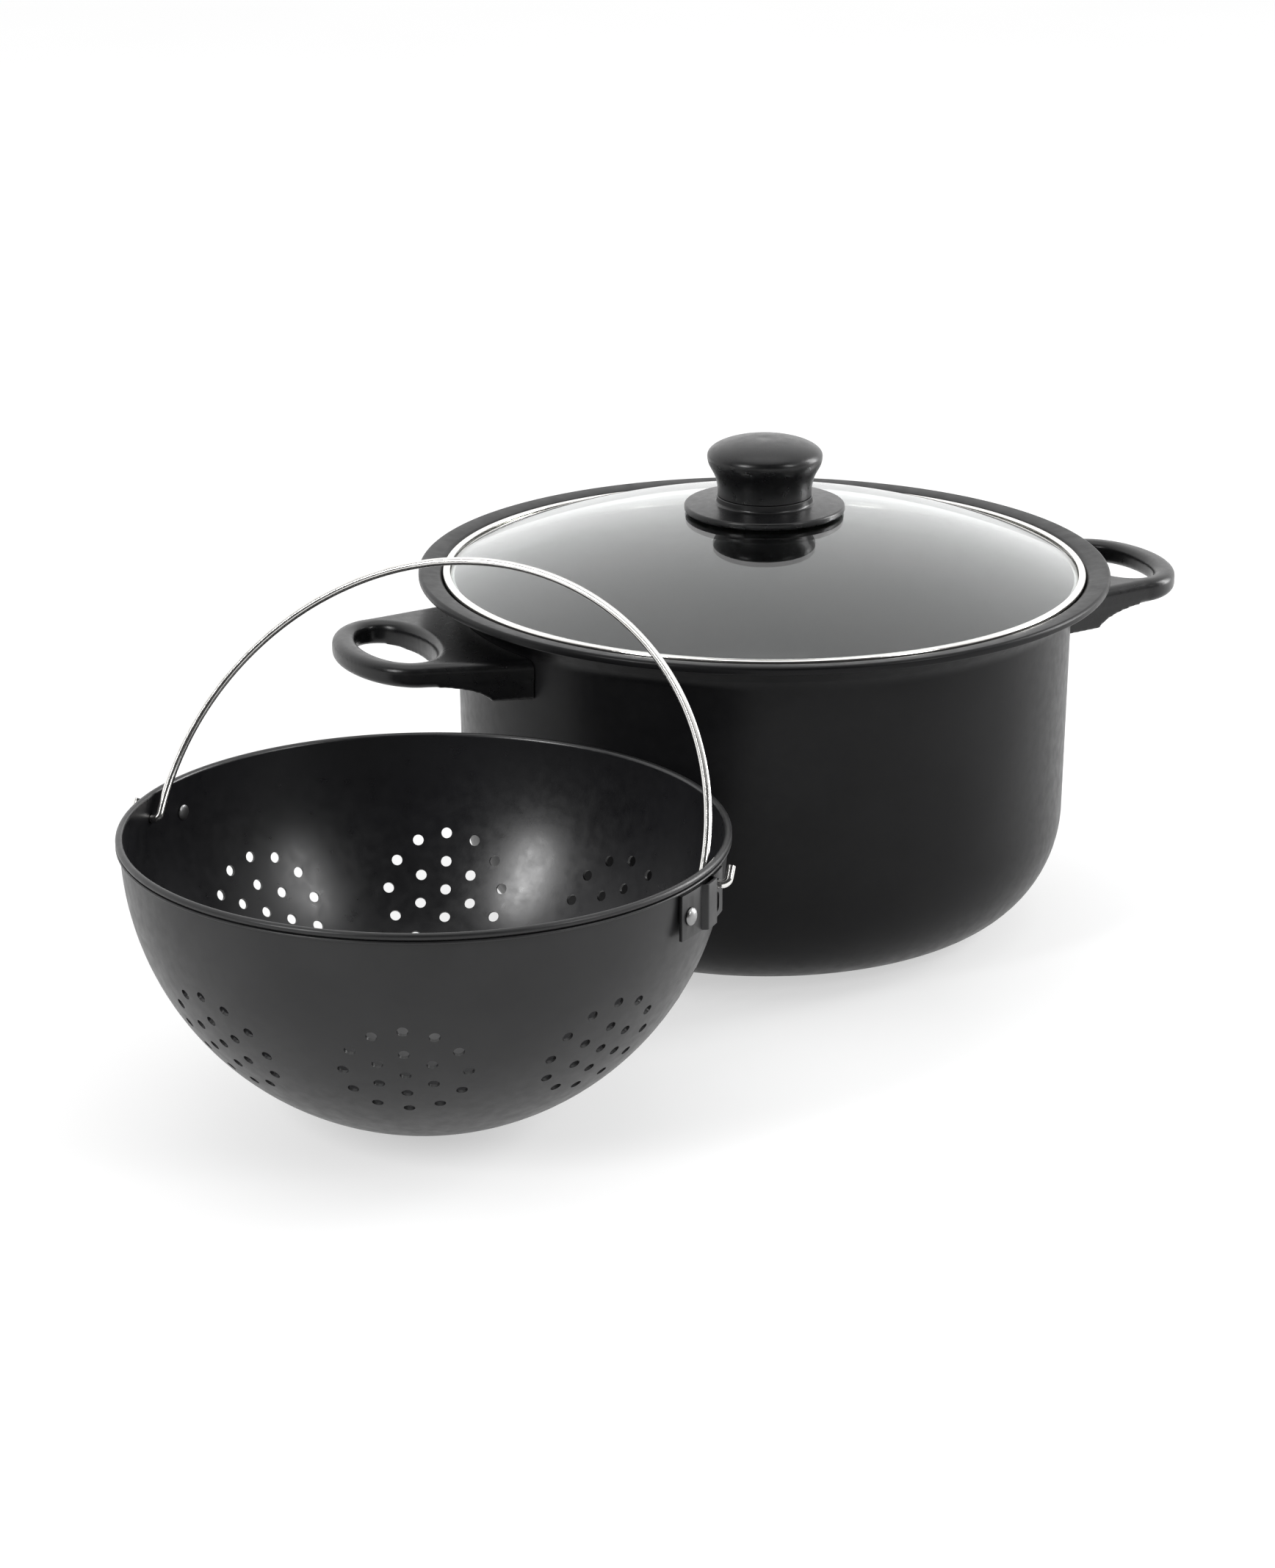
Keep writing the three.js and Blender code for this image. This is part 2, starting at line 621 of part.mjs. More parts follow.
function bowlShell() {
  const innerWall = BOWL_RADIUS - BOWL_SHEET;
  const rimFoot = STRAINER_HEIGHT - RIM_DEPTH;
  const outside = bowlArc(BOWL_RADIUS, 0).slice(0, -1);
  const rim = [
    v2(bowlRadiusAt(rimFoot), rimFoot),
    v2(STRAINER_RIM - RIM_ROLL, rimFoot),
    v2(STRAINER_RIM, rimFoot + RIM_ROLL),
    v2(STRAINER_RIM, STRAINER_HEIGHT - RIM_ROLL),
    v2(STRAINER_RIM - RIM_ROLL, STRAINER_HEIGHT),
    v2(innerWall + RIM_ROLL, STRAINER_HEIGHT),
    v2(innerWall, STRAINER_HEIGHT - RIM_ROLL),
  ];
  const inside = bowlArc(innerWall, BOWL_SHEET).reverse();
  return lathe([v2(0, 0), ...outside, ...rim, ...inside, v2(0, BOWL_SHEET)], BOWL_SEGMENTS);
}

// A prism that stands along a direction from the bowl's centre and cuts one hole through the shell.
function holeCutter(direction) {
  const cutter = new THREE.CylinderGeometry(HOLE_RADIUS, HOLE_RADIUS, HOLE_CUT_LENGTH, HOLE_SIDES);
  const turn = new THREE.Quaternion().setFromUnitVectors(new THREE.Vector3(0, 1, 0), direction);
  const middle = direction.clone().multiplyScalar(BOWL_RADIUS - BOWL_SHEET / 2);
  return cutter.applyQuaternion(turn).translate(middle.x, middle.y, middle.z + BOWL_CENTRE);
}

// Directions of one cluster's holes: a centre hole, an inner ring and an outer ring.
function clusterDirections(azimuth, dip) {
  const toCluster = new THREE.Quaternion()
    .setFromAxisAngle(new THREE.Vector3(0, 0, 1), azimuth)
    .multiply(new THREE.Quaternion().setFromAxisAngle(new THREE.Vector3(0, 1, 0), dip));
  const directions = [];
  for (const [radius, count] of CLUSTER_RINGS) {
    const bearing = radius / BOWL_RADIUS;
    for (let i = 0; i < count; i++) {
      const turn = (i / count) * FULL_TURN;
      const across = Math.sin(bearing);
      const point = new THREE.Vector3(Math.cos(bearing), across * Math.sin(turn), across * Math.cos(turn));
      directions.push(point.applyQuaternion(toCluster));
    }
  }
  return directions;
}

function bowlHoles() {
  const directions = clusterDirections(0, QUARTER_TURN);
  for (let i = 0; i < CLUSTER_COUNT; i++) {
    directions.push(...clusterDirections(CLUSTER_TURN + (i / CLUSTER_COUNT) * FULL_TURN, CLUSTER_DIP));
  }
  return mergeGeometries(directions.map(holeCutter));
}

// A round bar across the wall at a turn about the strainer's axis, at one height.
function radialBar(radius, azimuth, height) {
  const bar = cylinder(radius, BOWL_RADIUS - EAR_CUT_REACH, BOWL_RADIUS + EAR_CUT_REACH, SMALL_SEGMENTS);
  return bar.rotateY(QUARTER_TURN).rotateZ(azimuth).translate(0, 0, height);
}

const EAR_TURNS = [['right', 0], ['left', Math.PI]];
const RIVET_HEIGHT = STRAINER_HEIGHT - RIVET_DROP;
const pivotBore = (turn) => solid(radialBar(PIVOT_HOLE, turn, PIVOT_HEIGHT));
const rivetBore = (turn) => solid(radialBar(RIVET_RADIUS + GAP, turn + RIVET_AZIMUTH, RIVET_HEIGHT));

function strainerBowl() {
  let bowl = solid(bowlShell()).subtract(solid(bowlHoles()));
  for (const [, turn] of EAR_TURNS) {
    bowl = bowl.subtract(pivotBore(turn)).subtract(rivetBore(turn));
  }
  return shapeOf(bowl);
}

// An ear: a strap that follows the bowl, bowed out into a channel, with its rivet hole, wire hole and slot.
function earRise(azimuth) {
  const away = Math.abs(azimuth - EAR_CHANNEL_AT) - EAR_CHANNEL_HALF;
  return EAR_CHANNEL_RISE * THREE.MathUtils.clamp(1 - away / EAR_CHANNEL_RAMP, 0, 1);
}

function earStrap() {
  const breaks = [
    EAR_START,
    RIVET_AZIMUTH - EAR_CHANNEL_HALF,
    RIVET_AZIMUTH + EAR_CHANNEL_HALF,
    EAR_CHANNEL_AT - EAR_CHANNEL_HALF - EAR_CHANNEL_RAMP,
    EAR_CHANNEL_AT - EAR_CHANNEL_HALF,
    EAR_CHANNEL_AT,
    EAR_CHANNEL_AT + EAR_CHANNEL_HALF,
    EAR_CHANNEL_AT + EAR_CHANNEL_HALF + EAR_CHANNEL_RAMP,
    0,
    EAR_STOP / 2,
    EAR_STOP,
  ];
  const face = (outward) => breaks.map((azimuth) => {
    const radius = BOWL_RADIUS + GAP + earRise(azimuth) + (outward ? EAR_SHEET : 0);
    return v2(radius * Math.cos(azimuth), radius * Math.sin(azimuth));
  });
  const plan = new THREE.Shape([...face(true), ...face(false).reverse()]);
  const height = EAR_BOTTOM_DROP - EAR_TOP_DROP;
  const strap = new THREE.ExtrudeGeometry(plan, { depth: height, bevelEnabled: false });
  return strap.translate(0, 0, STRAINER_HEIGHT - EAR_BOTTOM_DROP);
}

function ear() {
  const slot = box(
    [BOWL_RADIUS - EAR_CUT_REACH, -SLOT_HALF_WIDTH, STRAINER_HEIGHT - SLOT_BOTTOM_DROP],
    [BOWL_RADIUS + EAR_CUT_REACH, SLOT_HALF_WIDTH, STRAINER_HEIGHT - SLOT_TOP_DROP],
  );
  return shapeOf(solid(earStrap()).subtract(rivetBore(0)).subtract(pivotBore(0)).subtract(solid(slot)));
}

// A rivet through the strap and the bowl, domed at both ends. The bowl's flat facets come in from its circle.
function rivet() {
  const facet = Math.cos(Math.PI / BOWL_SEGMENTS);
  const inner = (bowlRadiusAt(RIVET_HEIGHT) - BOWL_SHEET) * facet - 4 * GAP;
  const outer = BOWL_RADIUS + EAR_SHEET + 2 * GAP;
  const shape = lathe([
    ...arc(v2(0, inner), RIVET_TAIL, RIVET_TAIL_HEIGHT, -QUARTER_TURN, 0, HEAD_STEPS),
    v2(RIVET_RADIUS, inner),
    v2(RIVET_RADIUS, outer),
    ...arc(v2(0, outer), RIVET_HEAD, RIVET_HEAD_HEIGHT, 0, QUARTER_TURN, HEAD_STEPS),
  ], SMALL_SEGMENTS);
  return shape.rotateY(QUARTER_TURN).rotateZ(RIVET_AZIMUTH).translate(0, 0, RIVET_HEIGHT);
}

// The wire's route in its own plane: hook, pivot, bend, arch, and the same again on the other side.
function bailRoute() {
  const hookAt = BAIL_END - WIRE_RADIUS;
  const hookBend = v2(hookAt - BAIL_BEND, BAIL_BEND);
  const legBend = v2(BAIL_HALF_SPAN + BAIL_BEND, BAIL_BEND);
  const archCentre = v2(0, BAIL_BEND);
  const half = [
    v2(hookAt, BAIL_HOOK),
    ...arc(hookBend, BAIL_BEND, BAIL_BEND, 0, -QUARTER_TURN, BEND_STEPS),
    ...arc(legBend, BAIL_BEND, BAIL_BEND, -QUARTER_TURN, -2 * QUARTER_TURN, BEND_STEPS),
    ...arc(archCentre, BAIL_HALF_SPAN, BAIL_RISE - BAIL_BEND, 0, QUARTER_TURN, ARCH_STEPS).slice(1),
  ];
  const mirrored = half.slice(0, -1).reverse().map((point) => v2(-point.x, point.y));
  return [...half, ...mirrored];
}

// A curve that gives its own points back, one for each step of the extrusion.
class PointRoute extends THREE.CatmullRomCurve3 {
  getPointAt(t, target) {
    return this.getPoint(t, target);
  }

  getTangentAt(t, target) {
    return this.getTangent(t, target);
  }
}

function bailWire() {
  const points = bailRoute().map((point) => new THREE.Vector3(point.x, 0, point.y));
  const section = arc(v2(0, 0), WIRE_RADIUS, WIRE_RADIUS, 0, FULL_TURN, WIRE_SIDES).slice(1);
  const path = new PointRoute(points, false, 'catmullrom');
  return new THREE.ExtrudeGeometry(new THREE.Shape(section), { steps: points.length - 1, extrudePath: path });
}

function strainer() {
  const group = new THREE.Group();
  const distance = FLANGE_RADIUS + POT_TO_STRAINER + STRAINER_RIM;
  group.position.set(distance * Math.cos(STRAINER_AZIMUTH), distance * Math.sin(STRAINER_AZIMUTH), 0);
  group.rotation.z = PIVOT_AZIMUTH;
  group.add(piece('strainer_bowl', strainerBowl(), coatedSteel()));
  for (const [side, turn] of EAR_TURNS) {
    const mount = new THREE.Group();
    mount.rotation.z = turn;
    mount.add(
      piece(`${side}_ear`, ear(), coatedSteel()),
      piece(`${side}_ear_rivet`, rivet(), brightSteel()),
    );
    group.add(mount);
  }
  const swing = new THREE.Group();
  swing.position.z = PIVOT_HEIGHT;
  swing.rotation.x = -BAIL_LEAN;
  swing.add(piece('bail_wire', bailWire(), brightSteel()));
  group.add(swing);
  return group;
}

const pot = new THREE.Group();
pot.add(
  piece('pot_body', potBody(), coatedSteel()),
  handle('right', 0),
  handle('left', Math.PI),
  lid(),
  strainer(),
);

export default pot;
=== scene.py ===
import itertools
import json
import math

import bmesh
import bpy
from mathutils import Matrix, Vector


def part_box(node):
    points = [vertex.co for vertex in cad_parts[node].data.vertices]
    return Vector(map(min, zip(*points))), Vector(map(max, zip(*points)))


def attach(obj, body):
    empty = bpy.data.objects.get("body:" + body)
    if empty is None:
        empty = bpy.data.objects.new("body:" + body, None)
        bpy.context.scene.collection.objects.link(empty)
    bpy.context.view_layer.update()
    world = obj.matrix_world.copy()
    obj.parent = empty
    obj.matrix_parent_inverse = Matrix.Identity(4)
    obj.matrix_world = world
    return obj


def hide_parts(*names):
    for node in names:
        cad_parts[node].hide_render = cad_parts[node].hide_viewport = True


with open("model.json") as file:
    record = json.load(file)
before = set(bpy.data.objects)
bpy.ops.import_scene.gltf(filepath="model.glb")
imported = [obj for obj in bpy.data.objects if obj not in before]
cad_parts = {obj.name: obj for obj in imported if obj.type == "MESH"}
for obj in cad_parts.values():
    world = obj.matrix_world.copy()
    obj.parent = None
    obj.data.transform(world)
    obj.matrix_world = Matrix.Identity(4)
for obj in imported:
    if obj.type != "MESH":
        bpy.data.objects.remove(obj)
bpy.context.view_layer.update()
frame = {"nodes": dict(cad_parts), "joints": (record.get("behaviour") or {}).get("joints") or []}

# Sizes are in millimetres and are scaled to metres when a mesh is made.
MM = 0.001
WELD = 1e-7
ON_AXIS = 1e-6
SHARP_ANGLE = 32
UP = Vector((0, 0, 1))

# Photograph: its frame in pixels, and where it was taken from
PHOTO_LONG_SIDE = 2135
SENSOR = 36.0
FOCAL_PIXELS = 6342
CAMERA_RIGHT = -50.9
CAMERA_BACK = 1804.2
CAMERA_HEIGHT = 661.4
CAMERA_PITCH = math.radians(18.7)
CAMERA_CLIP = 200000
HANDLE_TURN = math.radians(22)

# Pot
POT_HEIGHT = 144
FLANGE_RADIUS = 139
WALL_RADIUS = 123.7
SHEET = 1.5
NECK_HEIGHT = 129
WALL_TAPER = 0.02
CORNER_REACH = 42
CORNER_HEIGHT = 47
BEND_RADIUS = 130.6
BEND_DROP = 1.4
BEND_ROUNDING = 1.2
CONE_ANGLE = math.radians(52)
CONE_REACH = 6
FLANGE_SLOPE = 0.15
LIP_DEPTH = 3.6
LIP_ROUNDING = 1.3
POT_SEGMENTS = 192

# Side handles, heights counted from the handle's top
HANDLE_TOP = 129.6
HANDLE_TIP = 180.5
HANDLE_ROOT = 112
HANDLE_ROOT_HALF_WIDTH = 45
HANDLE_HALF_WIDTH = 36
HANDLE_NOSE = 24
HANDLE_THICKNESS = 11.2
HANDLE_THINNING = 0.24
HANDLE_ROUNDING = 3.6
FINGER_HOLE_AT = 157
FINGER_HOLE_REACH = 14
FINGER_HOLE_HALF_WIDTH = 27
BLOCK_REACH = 152
BLOCK_FOOT_REACH = 131.5
BLOCK_DEPTH = 16
BLOCK_INSET = 0.3
FLARE_START = 9.2
FLARE_BEND_AT = 136
FLARE_BEND = 10.6
HANDLE_BEVEL_STEPS = 5
HANDLE_VOXEL = 0.7
HANDLE_RELAXING = 0.5
HANDLE_SMOOTHING = 4
HANDLE_SHARP_ANGLE = 40
SCREW_AT = 131.4
COUNTERBORE_TOP = -9.2
HANDLE_SCREW_RADIUS = 1.9
HANDLE_SCREW_HEAD = 3.8
HANDLE_SCREW_HEAD_HEIGHT = 2.3
HANDLE_SCREW_CROWN = 1.2
HANDLE_SCREW_SLOT = 1
HANDLE_WASHER_THICKNESS = 0.7
TONGUE_TOP = -5

# Lid, heights counted from the pot's top
LID_RADIUS = 129.2
BAND_TOP = -0.8
BAND_BOTTOM = -6.4
BAND_SHOULDER = -2.4
BAND_SHEET = 0.9
BAND_LIP = 2.9
BAND_LIP_ROUNDING = 0.3
BAND_BEAD = 0.75
BAND_FOOT_OUTER = 3.2
BAND_FOOT_INNER = 5.6
DOME_RISE = 23.8
GLASS_THICKNESS = 3.5
GLASS_EDGE = 127.6
GLASS_EDGE_TOP = -2.3
GLASS_LAND = 0.5
GLASS_BEVEL = 2.2
GLASS_HOLE = 4.2
LID_SEGMENTS = 192

# Knob, heights counted from the top of the glass
KNOB_BORE = 3
DISC_RADIUS = 32.2
DISC_TOP = 1.9
DISC_LOW = -0.9
DISC_EDGE = 0.9
DISC_HUB = 0.5
COLLAR_RADIUS = 19.2
COLLAR_TOP = 2.4
COLLAR_FILLET = 1.2
SEAM_HEIGHT = 5.4
SEAM_EDGE = 0.25
SEAM_GAP = 0.1
NECK_RADIUS = 18.8
HEAD_RADIUS = 23.1
HEAD_UNDER = 16
HEAD_HEIGHT = 21.6
KNOB_TOP = 29
DIMPLE_DEPTH = 0.35
DIMPLE_RADIUS = 4
INSERT_RADIUS = 5
INSERT_TOP = 21
GASKET_RADIUS = 11
GASKET_THICKNESS = 1.4
WASHER_RADIUS = 9
WASHER_THICKNESS = 1.2
RING_EDGE = 0.25
SCREW_RADIUS = 2.4
SCREW_TOP = 18
SCREW_HEAD_RADIUS = 5.2
SCREW_HEAD_HEIGHT = 2.9
SCREW_CROWN = 1.6
CROSS_LENGTH = 6.2
CROSS_WIDTH = 1.2
CROSS_DEPTH = 1.3
KNOB_SEGMENTS = 128

# Strainer
STRAINER_HEIGHT = 108.2
STRAINER_RIM = 111
BOWL_RADIUS = 109.5
BOWL_SHEET = 1.2
BOWL_CENTRE = 106.2
RIM_DEPTH = 3.8
RIM_CURL = 0.5
RIM_GROOVE = 109.75
BOWL_SEGMENTS = 160
BOWL_RINGS = 36
HOLE_RADIUS = 2.05
HOLE_SIDES = 20
CLUSTER_COUNT = 8
CLUSTER_TURN = math.radians(16.6)
CLUSTER_DIP = math.radians(31)
CLUSTER_RINGS = ((0, 1), (11, 6), (22, 12))

# How a face is told to lie on one of the bowl's two shells, and to face its inside
ALONG_SHELL = 0.9
OFF_SHELL = 0.02
FACING_IN = -0.5

# Bail and ears
WIRE_RADIUS = 1.5
WIRE_SIDES = 20
WIRE_SHARP_ANGLE = 50
PIVOT_HEIGHT = 99.2
BAIL_HALF_SPAN = 104.8
BAIL_RISE = 112
BAIL_LEAN = math.radians(36.5)
BAIL_BEND = 2.5
BAIL_END = 116.4
BAIL_HOOK = 7
PIVOT_HOLE = 2
EAR_START = math.radians(-15)
EAR_STOP = math.radians(3.4)
EAR_TOP_DROP = 4.6
EAR_BOTTOM_DROP = 21.4
EAR_SHEET = 1.2
EAR_STEPS = 68
EAR_EDGE = 0.22
EAR_EDGE_STEPS = 2
EAR_EDGE_ANGLE = math.radians(50)
EAR_SHARP_ANGLE = 40
EAR_CHANNEL_AT = math.radians(-5)
EAR_CHANNEL_HALF = math.radians(1.9)
EAR_CHANNEL_RAMP = math.radians(0.9)
EAR_CHANNEL_RISE = 2
SLOT_HALF_WIDTH = 2.2
SLOT_TOP_DROP = 12.2
SLOT_BOTTOM_DROP = 19.6
RIVET_AZIMUTH = math.radians(-12.1)
RIVET_DROP = 13.5
RIVET_RADIUS = 1.9
RIVET_HEAD = 3.3
RIVET_HEAD_HEIGHT = 1.5
RIVET_TAIL = 3
RIVET_TAIL_HEIGHT = 0.9

# Clearance between pieces, how far a cutting tool runs past what it cuts, and sides of small round pieces
GAP = 0.3
CUT_REACH = 60
EAR_CUT_REACH = 8
HOLE_CUT_REACH = 5
SMALL_SEGMENTS = 48

# Sides of the set, each with its turn from the right handle or the right pivot
SIDES = (("right", 0), ("left", math.pi))

# The strainer's place comes from its solid, and the line of its pivots from the bail's joint.
bowl_low, bowl_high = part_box("strainer_bowl")
STRAINER_X = (bowl_low[0] + bowl_high[0]) / 2
STRAINER_Y = (bowl_low[1] + bowl_high[1]) / 2
bail_axis = next(joint["axis"] for joint in frame["joints"] if joint["name"] == "bail_swing")
PIVOT_TURN = math.atan2(bail_axis[1], bail_axis[0])


def arc(centre, reach, start, stop, steps):
    """Points along an elliptical arc from one angle in degrees to another."""
    points = []
    for i in range(steps + 1):
        angle = math.radians(start + (stop - start) * i / steps)
        x = centre[0] + reach[0] * math.cos(angle)
        points.append((x, centre[1] + reach[1] * math.sin(angle)))
    return points


def bezier(controls, steps):
    """Points along a Bezier curve of any degree."""
    points = []
    for i in range(steps + 1):
        level = [Vector(control) for control in controls]
        while len(level) > 1:
            level = [a.lerp(b, i / steps) for a, b in zip(level, level[1:])]
        points.append(tuple(level[0]))
    return points


def mesh_object(name, verts, faces):
    mesh = bpy.data.meshes.new(name)
    mesh.from_pydata([Vector(v) * MM for v in verts], [], faces)
    tidy = bmesh.new()
    tidy.from_mesh(mesh)
    bmesh.ops.remove_doubles(tidy, verts=tidy.verts, dist=WELD)
    bmesh.ops.recalc_face_normals(tidy, faces=tidy.faces)
    tidy.to_mesh(mesh)
    tidy.free()
    piece = bpy.data.objects.new(name, mesh)
    bpy.context.scene.collection.objects.link(piece)
    return piece


def smooth(piece, degrees=SHARP_ANGLE):
    piece.data.shade_smooth()
    piece.data.set_sharp_from_angle(angle=math.radians(degrees))


def turned(name, profile, segments):
    """A closed body made by turning a profile of radius and height about the Z axis."""
    verts, faces = [], []
    rings = []
    for radius, height in profile:
        first = len(verts)
        count = 1 if radius < ON_AXIS else segments
        for i in range(count):
            angle = 2 * math.pi * i / segments
            verts.append((radius * math.cos(angle), radius * math.sin(angle), height))
        rings.append((first, count))
    on_axis = rings[0][1] == 1 and rings[-1][1] == 1
    pairs = list(zip(rings, rings[1:]))
    if not on_axis:
        pairs.append((rings[-1], rings[0]))
    for (a, a_count), (b, b_count) in pairs:
        for i in range(segments):
            j = (i + 1) % segments
            corners = [a + i % a_count, a + j % a_count, b + j % b_count, b + i % b_count]
            face = list(dict.fromkeys(corners))
            if len(face) > 2:
                faces.append(face)
    piece = mesh_object(name, verts, faces)
    smooth(piece)
    return piece


def place(piece, matrix):
    piece.data.transform(matrix)


def raise_by(height):
    return Matrix.Translation((0, 0, height * MM))


def tool_box(low, high):
    corners = list(itertools.product(*zip(low, high)))
    faces = [(0, 1, 3, 2), (4, 6, 7, 5), (0, 4, 5, 1), (2, 3, 7, 6), (0, 2, 6, 4), (1, 5, 7, 3)]
    return mesh_object("tool", corners, faces)


def tool_bar(radius, low, high, sides):
    return turned("tool", [(0, low), (radius, low), (radius, high), (0, high)], sides)


def apply_modifiers(piece):
    depsgraph = bpy.context.evaluated_depsgraph_get()
    mesh = bpy.data.meshes.new_from_object(piece.evaluated_get(depsgraph))
    piece.modifiers.clear()
    old = piece.data
    piece.data = mesh
    bpy.data.meshes.remove(old)


def cut(piece, tool):
    """Cuts a tool out of a piece and deletes the tool."""
    boolean = piece.modifiers.new("cut", "BOOLEAN")
    boolean.operation = "DIFFERENCE"
    boolean.solver = "EXACT"
    boolean.object = tool
    apply_modifiers(piece)
    bpy.data.objects.remove(tool)


# Pot


def corner(reach, height):
    foot = WALL_RADIUS - WALL_TAPER * (NECK_HEIGHT - CORNER_HEIGHT)
    return arc((foot - CORNER_REACH, CORNER_HEIGHT), (reach, height), -90, 0, steps=24)


def neck(wall, cone_foot):
    control = (wall, cone_foot[1] - (cone_foot[0] - wall) * math.tan(CONE_ANGLE))
    return bezier([(wall, NECK_HEIGHT), control, cone_foot], steps=10)


def make_pot():
    bend = Vector((BEND_RADIUS, POT_HEIGHT - BEND_DROP))
    cone = Vector((math.cos(CONE_ANGLE), math.sin(CONE_ANGLE)))
    flange = Vector((1, FLANGE_SLOPE)).normalized()
    cone_foot = bend - Vector((CONE_REACH, CONE_REACH * math.tan(CONE_ANGLE)))
    cone_normal = Vector((cone.y, -cone.x))
    flange_normal = Vector((flange.y, -flange.x))
    mitre = (cone_normal + flange_normal) / (1 + cone_normal.dot(flange_normal))
    under_bend = bend + mitre * SHEET
    lip_top = bend.y + (FLANGE_RADIUS - LIP_ROUNDING - bend.x) * FLANGE_SLOPE
    lip_centre = (FLANGE_RADIUS - LIP_ROUNDING, lip_top - LIP_ROUNDING)
    lip_inside = FLANGE_RADIUS - SHEET
    lip_foot = POT_HEIGHT - LIP_DEPTH
    lip_under = lip_top - SHEET
    edge = SHEET / 2
    outside = [(0, 0)] + corner(CORNER_REACH, CORNER_HEIGHT)
    outside += neck(WALL_RADIUS, cone_foot + cone_normal * SHEET)
    outside += bezier([under_bend - cone * SHEET, under_bend, under_bend + flange * SHEET], steps=5)
    turn_in = (lip_inside - edge, lip_under)
    outside += bezier([turn_in, (lip_inside, lip_under), (lip_inside, lip_under - edge)], steps=4)
    outside += arc((lip_inside + edge, lip_foot + edge), (edge, edge), 180, 360, steps=8)
    outside += arc(lip_centre, (LIP_ROUNDING, LIP_ROUNDING), 0, 85, steps=8)
    inside = bezier([bend + flange * BEND_ROUNDING, bend, bend - cone * BEND_ROUNDING], steps=6)
    inside += list(reversed(neck(WALL_RADIUS - SHEET, cone_foot)))
    inside += list(reversed(corner(CORNER_REACH - SHEET, CORNER_HEIGHT - SHEET))) + [(0, SHEET)]
    return turned("pot_shell", outside + inside, POT_SEGMENTS)


# Side handles


def handle_loop():
    """The looped grip: a plan outline with a finger hole, with rounded edges, thinner towards its tip."""
    edge = [(HANDLE_ROOT, HANDLE_ROOT_HALF_WIDTH), (HANDLE_ROOT, -HANDLE_ROOT_HALF_WIDTH)]
    edge += arc((HANDLE_TIP - HANDLE_NOSE, 0), (HANDLE_NOSE, HANDLE_HALF_WIDTH), -90, 90, steps=40)
    curve = bpy.data.curves.new("loop", "CURVE")
    curve.dimensions = "2D"
    curve.fill_mode = "BOTH"
    for outline in (edge, finger_hole(0)):
        spline = curve.splines.new("POLY")
        spline.points.add(len(outline) - 1)
        for point, (x, y) in zip(spline.points, outline):
            point.co = (x * MM, y * MM, 0, 1)
        spline.use_cyclic_u = True
    curve.extrude = (HANDLE_THICKNESS / 2 - HANDLE_ROUNDING) * MM
    curve.bevel_depth = HANDLE_ROUNDING * MM
    curve.bevel_resolution = HANDLE_BEVEL_STEPS
    curve.offset = -HANDLE_ROUNDING * MM
    source = bpy.data.objects.new("loop", curve)
    bpy.context.scene.collection.objects.link(source)
    mesh = bpy.data.meshes.new_from_object(source.evaluated_get(bpy.context.evaluated_depsgraph_get()))
    bpy.data.objects.remove(source)
    mesh.transform(raise_by(-HANDLE_THICKNESS / 2))
    for vertex in mesh.vertices:
        outward = (vertex.co.x / MM - HANDLE_ROOT) / (HANDLE_TIP - HANDLE_ROOT)
        vertex.co.z *= 1 - HANDLE_THINNING * outward
    return mesh


def finger_hole(slack):
    reach = (FINGER_HOLE_REACH + slack, FINGER_HOLE_HALF_WIDTH + slack)
    return arc((FINGER_HOLE_AT, 0), reach, 0, 360, steps=56)[:-1]


def prism(name, lower, upper):
    """A closed body between two outlines that have the same number of points."""
    count = len(lower)
    faces = [list(range(count)), list(range(count, 2 * count))]
    for i in range(count):
        j = (i + 1) % count
        faces.append((i, j, count + j, count + i))
    return mesh_object(name, lower + upper, faces)


def handle_block():
    """The block under the loop's root: a side profile that flares down to a foot, as wide as the loop."""
    foot = (BLOCK_FOOT_REACH, -BLOCK_DEPTH)
    profile = [(HANDLE_ROOT, -HANDLE_ROUNDING), (BLOCK_REACH, -HANDLE_ROUNDING)]
    profile += bezier([(BLOCK_REACH, -FLARE_START), (FLARE_BEND_AT, -FLARE_BEND), foot], steps=12)
    profile += [(HANDLE_ROOT, -BLOCK_DEPTH)]

    def side(sign):
        points = []
        for x, z in profile:
            outward = (x - HANDLE_ROOT) / (HANDLE_TIP - HANDLE_NOSE - HANDLE_ROOT)
            half = HANDLE_ROOT_HALF_WIDTH + (HANDLE_HALF_WIDTH - HANDLE_ROOT_HALF_WIDTH) * outward
            points.append((x, sign * (half - BLOCK_INSET), z))
        return points

    block = prism("handle_block", side(-1), side(1))
    low = [(x, y, -CUT_REACH) for x, y in finger_hole(BLOCK_INSET)]
    high = [(x, y, CUT_REACH) for x, y in finger_hole(BLOCK_INSET)]
    cut(block, prism("tool", low, high))
    return block


